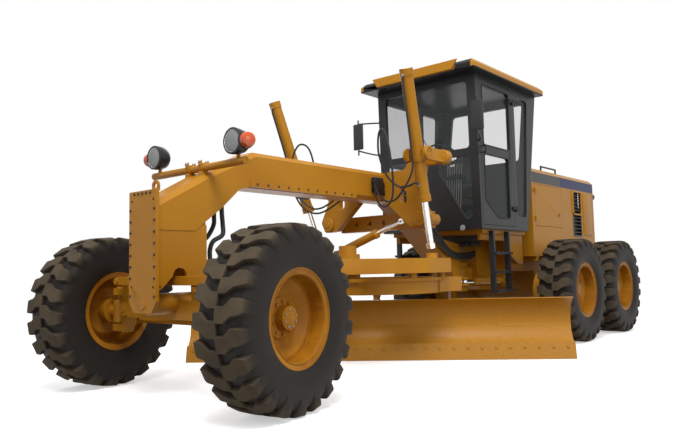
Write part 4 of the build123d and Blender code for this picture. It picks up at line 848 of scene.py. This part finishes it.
bundleSettings = {"radius": 0.0135, "count": 5, "spread": 0.029}
for index in range(bundleSettings["count"]):
    lift = bundleSettings["spread"] * index
    sway = 0.012 * math.sin(2.4 * index)
    path = smoothLine(((behind(2.40), 0.178, 1.835 + lift), (behind(2.60), 0.186 + sway * 0.3, 1.82 + lift),
                       (behind(2.95), 0.192, 1.79 + lift * 0.8 + sway), (behind(3.25), 0.20, 1.60 + lift * 0.8),
                       (behind(3.60), 0.21, 1.30 + lift + sway), (behind(3.92), 0.20, 1.145 + lift * 0.5),
                       (behind(4.30), 0.19, 1.11 + lift * 0.6), (behind(4.56), 0.18, 1.155 + lift * 0.5)), 70)
    run = tube(path, bundleSettings["radius"], 10)
    hose = piece(f"hitchHose_{index + 1}", run, "hose", None, smoothAngle=60)
    behind(3.95)
    behind(4.55)
    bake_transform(hose)
liftHoseRuns = {
    "high": [(2.40, 0.168, 1.950), (2.30, 0.300, 1.800), (2.23, 0.480, 1.700), (2.20, 0.640, 1.740),
             (0.44, 0.16), (0.56, 0.115), (0.70, 0.098), (0.86, 0.092), (0.93, 0.088), (0.955, 0.060)],
    "loop": [(2.40, 0.168, 1.890), (2.28, 0.300, 1.730), (2.18, 0.470, 1.640), (2.10, 0.630, 1.720),
             (2.02, 0.700, 1.950), (1.99, 0.680, 2.230), (2.02, 0.600, 2.410), (2.07, 0.500, 2.380),
             (2.12, 0.460, 2.180), (2.18, 0.520, 1.950), (2.22, 0.660, 1.830), (0.385, 0.115), (0.375, 0.064)],
}
for side, label in bothSides:
    for name, stops in liftHoseRuns.items():
        route = [onBarrel(side, *stop) if len(stop) == 2 else (behind(stop[0]), side * stop[1], stop[2])
                 for stop in stops]
        hose = piece(f"liftHose_{label}_{name}", tube(smoothLine(route, 90), 0.0105, 12), "hose", None,
                     smoothAngle=60)
        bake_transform(hose)
    port = [at(turned(((0.004, -0.012), (0.017, -0.010), (0.017, 0.02), (0.012, 0.03), (0.004, 0.03)), 6),
               placing(onBarrel(side, share, 0.055), (1, 0, 0.2))) for share in (0.955, 0.375)]
    piece(f"liftPorts_{label}", join(port), "steel", f"lift_{label}_barrel")
    block = slab((behind(2.52), side * 0.1605, 1.83), (behind(2.36), side * 0.215, 2.00), 0.012)
    fittings = [at(turned(((0.004, 0), (0.020, 0), (0.020, 0.03), (0.014, 0.045), (0.004, 0.045)), 6),
                   placing((behind(2.385), side * 0.190, z), (1, 0, 0))) for z in (1.88, 1.95)]
    piece(f"saddleValve_{label}", join([block] + fittings), "black", "front", bevel=0.0015)

valves = [slab((behind(4.56), -0.30, 1.335), (behind(4.31), 0.30, 1.4095), 0.010)]
for count in range(7):                 # spools and their caps under the deck, in front of the nose box
    y = -0.24 + 0.08 * count
    valves.append(slab((behind(4.54), y - 0.028, 1.275), (behind(4.36), y + 0.028, 1.337), 0.008))
    valves.append(rod((behind(4.365), y, 1.305), (behind(4.33), y, 1.305), 0.016, 16))
piece("valveBank", join(valves), "iron", "rear")
print("hoses done")

floor = bpy.data.objects.new("floor", bpy.data.meshes.new("floor"))
floor.data.from_pydata([(-60, -60, 0), (60, -60, 0), (60, 60, 0), (-60, 60, 0)], [], [(0, 1, 2, 3)])
scene.collection.objects.link(floor)
studioSettings = {"seen": 1.0, "lit": 0.55, "floorSeen": (0.92, 0.92, 0.92), "floorLit": (0.30, 0.29, 0.28),
                  "floorFill": (0.47, 0.47, 0.47)}


def seenShare(flow):                   # 1 for what the camera, a reflection or a pane sees, 0 for light
    path = flow.tree.nodes.new("ShaderNodeLightPath")
    rays = [Flow(flow.tree, path.outputs[name])
            for name in ("Is Camera Ray", "Is Glossy Ray", "Is Transmission Ray")]
    return flow.maths("MAXIMUM", flow.maths("MAXIMUM", rays[0], rays[1]), rays[2])


def paleFloor(flow, place):
    return {"Base Color": seenShare(flow).mix(studioSettings["floorLit"], studioSettings["floorSeen"]),
            "Emission Color": seenShare(flow).mix((0, 0, 0), studioSettings["floorFill"])}


floorLook = newLook("paleFloor", {"Roughness": 0.9, "Specular IOR Level": 0.1, "Emission Strength": 1.0}, paleFloor)
floor.data.materials.append(floorLook)

world = bpy.data.worlds.new("studio")
scene.world = world
world.use_nodes = True
skyFlow = Flow(world.node_tree)
sky = world.node_tree.nodes["Background"]
sky.inputs["Color"].default_value = (1.0, 1.0, 1.0, 1)
strength = seenShare(skyFlow) * (studioSettings["seen"] - studioSettings["lit"]) + studioSettings["lit"]
world.node_tree.links.new(strength.socket, sky.inputs["Strength"])

lightSettings = {"key": ((7, 5, 11), 1150, 5.0), "fill": ((4, 12, 5), 260, 6.0), "back": ((-9, -8, 9), 420, 6.0)}
for name, (place, power, size) in lightSettings.items():
    light = bpy.data.lights.new(name, "AREA")
    light.energy, light.size, light.shape = power, size, "SQUARE"
    stand = bpy.data.objects.new(name, light)
    scene.collection.objects.link(stand)
    stand.location = place
    stand.rotation_euler = (Vector((0.5, 0, 1.2)) - Vector(place)).to_track_quat("-Z", "Y").to_euler()

cameraSettings = {"place": (frontAxle + 3.27, 4.544, 1.014), "yaw": -139.15, "pitch": 4.62, "roll": -1.19,
                  "lens": 35.12}
yaw, pitch, roll = (math.radians(cameraSettings[key]) for key in ("yaw", "pitch", "roll"))
ahead = Vector((math.cos(yaw) * math.cos(pitch), math.sin(yaw) * math.cos(pitch), math.sin(pitch)))
right = ahead.cross(Vector((0, 0, 1))).normalized()
above = right.cross(ahead)
rightRolled = math.cos(roll) * right + math.sin(roll) * above
aboveRolled = math.cos(roll) * above - math.sin(roll) * right
camera = bpy.data.objects.new("camera", bpy.data.cameras.new("camera"))
camera.data.lens, camera.data.sensor_width = cameraSettings["lens"], 36
camera.data.clip_end = 200
scene.collection.objects.link(camera)
turn = [[rightRolled[row], aboveRolled[row], -ahead[row], cameraSettings["place"][row]] for row in range(3)]
camera.matrix_world = Matrix(turn + [[0, 0, 0, 1]])
scene.camera = camera
scene.view_settings.view_transform = "Standard"
print("studio done")
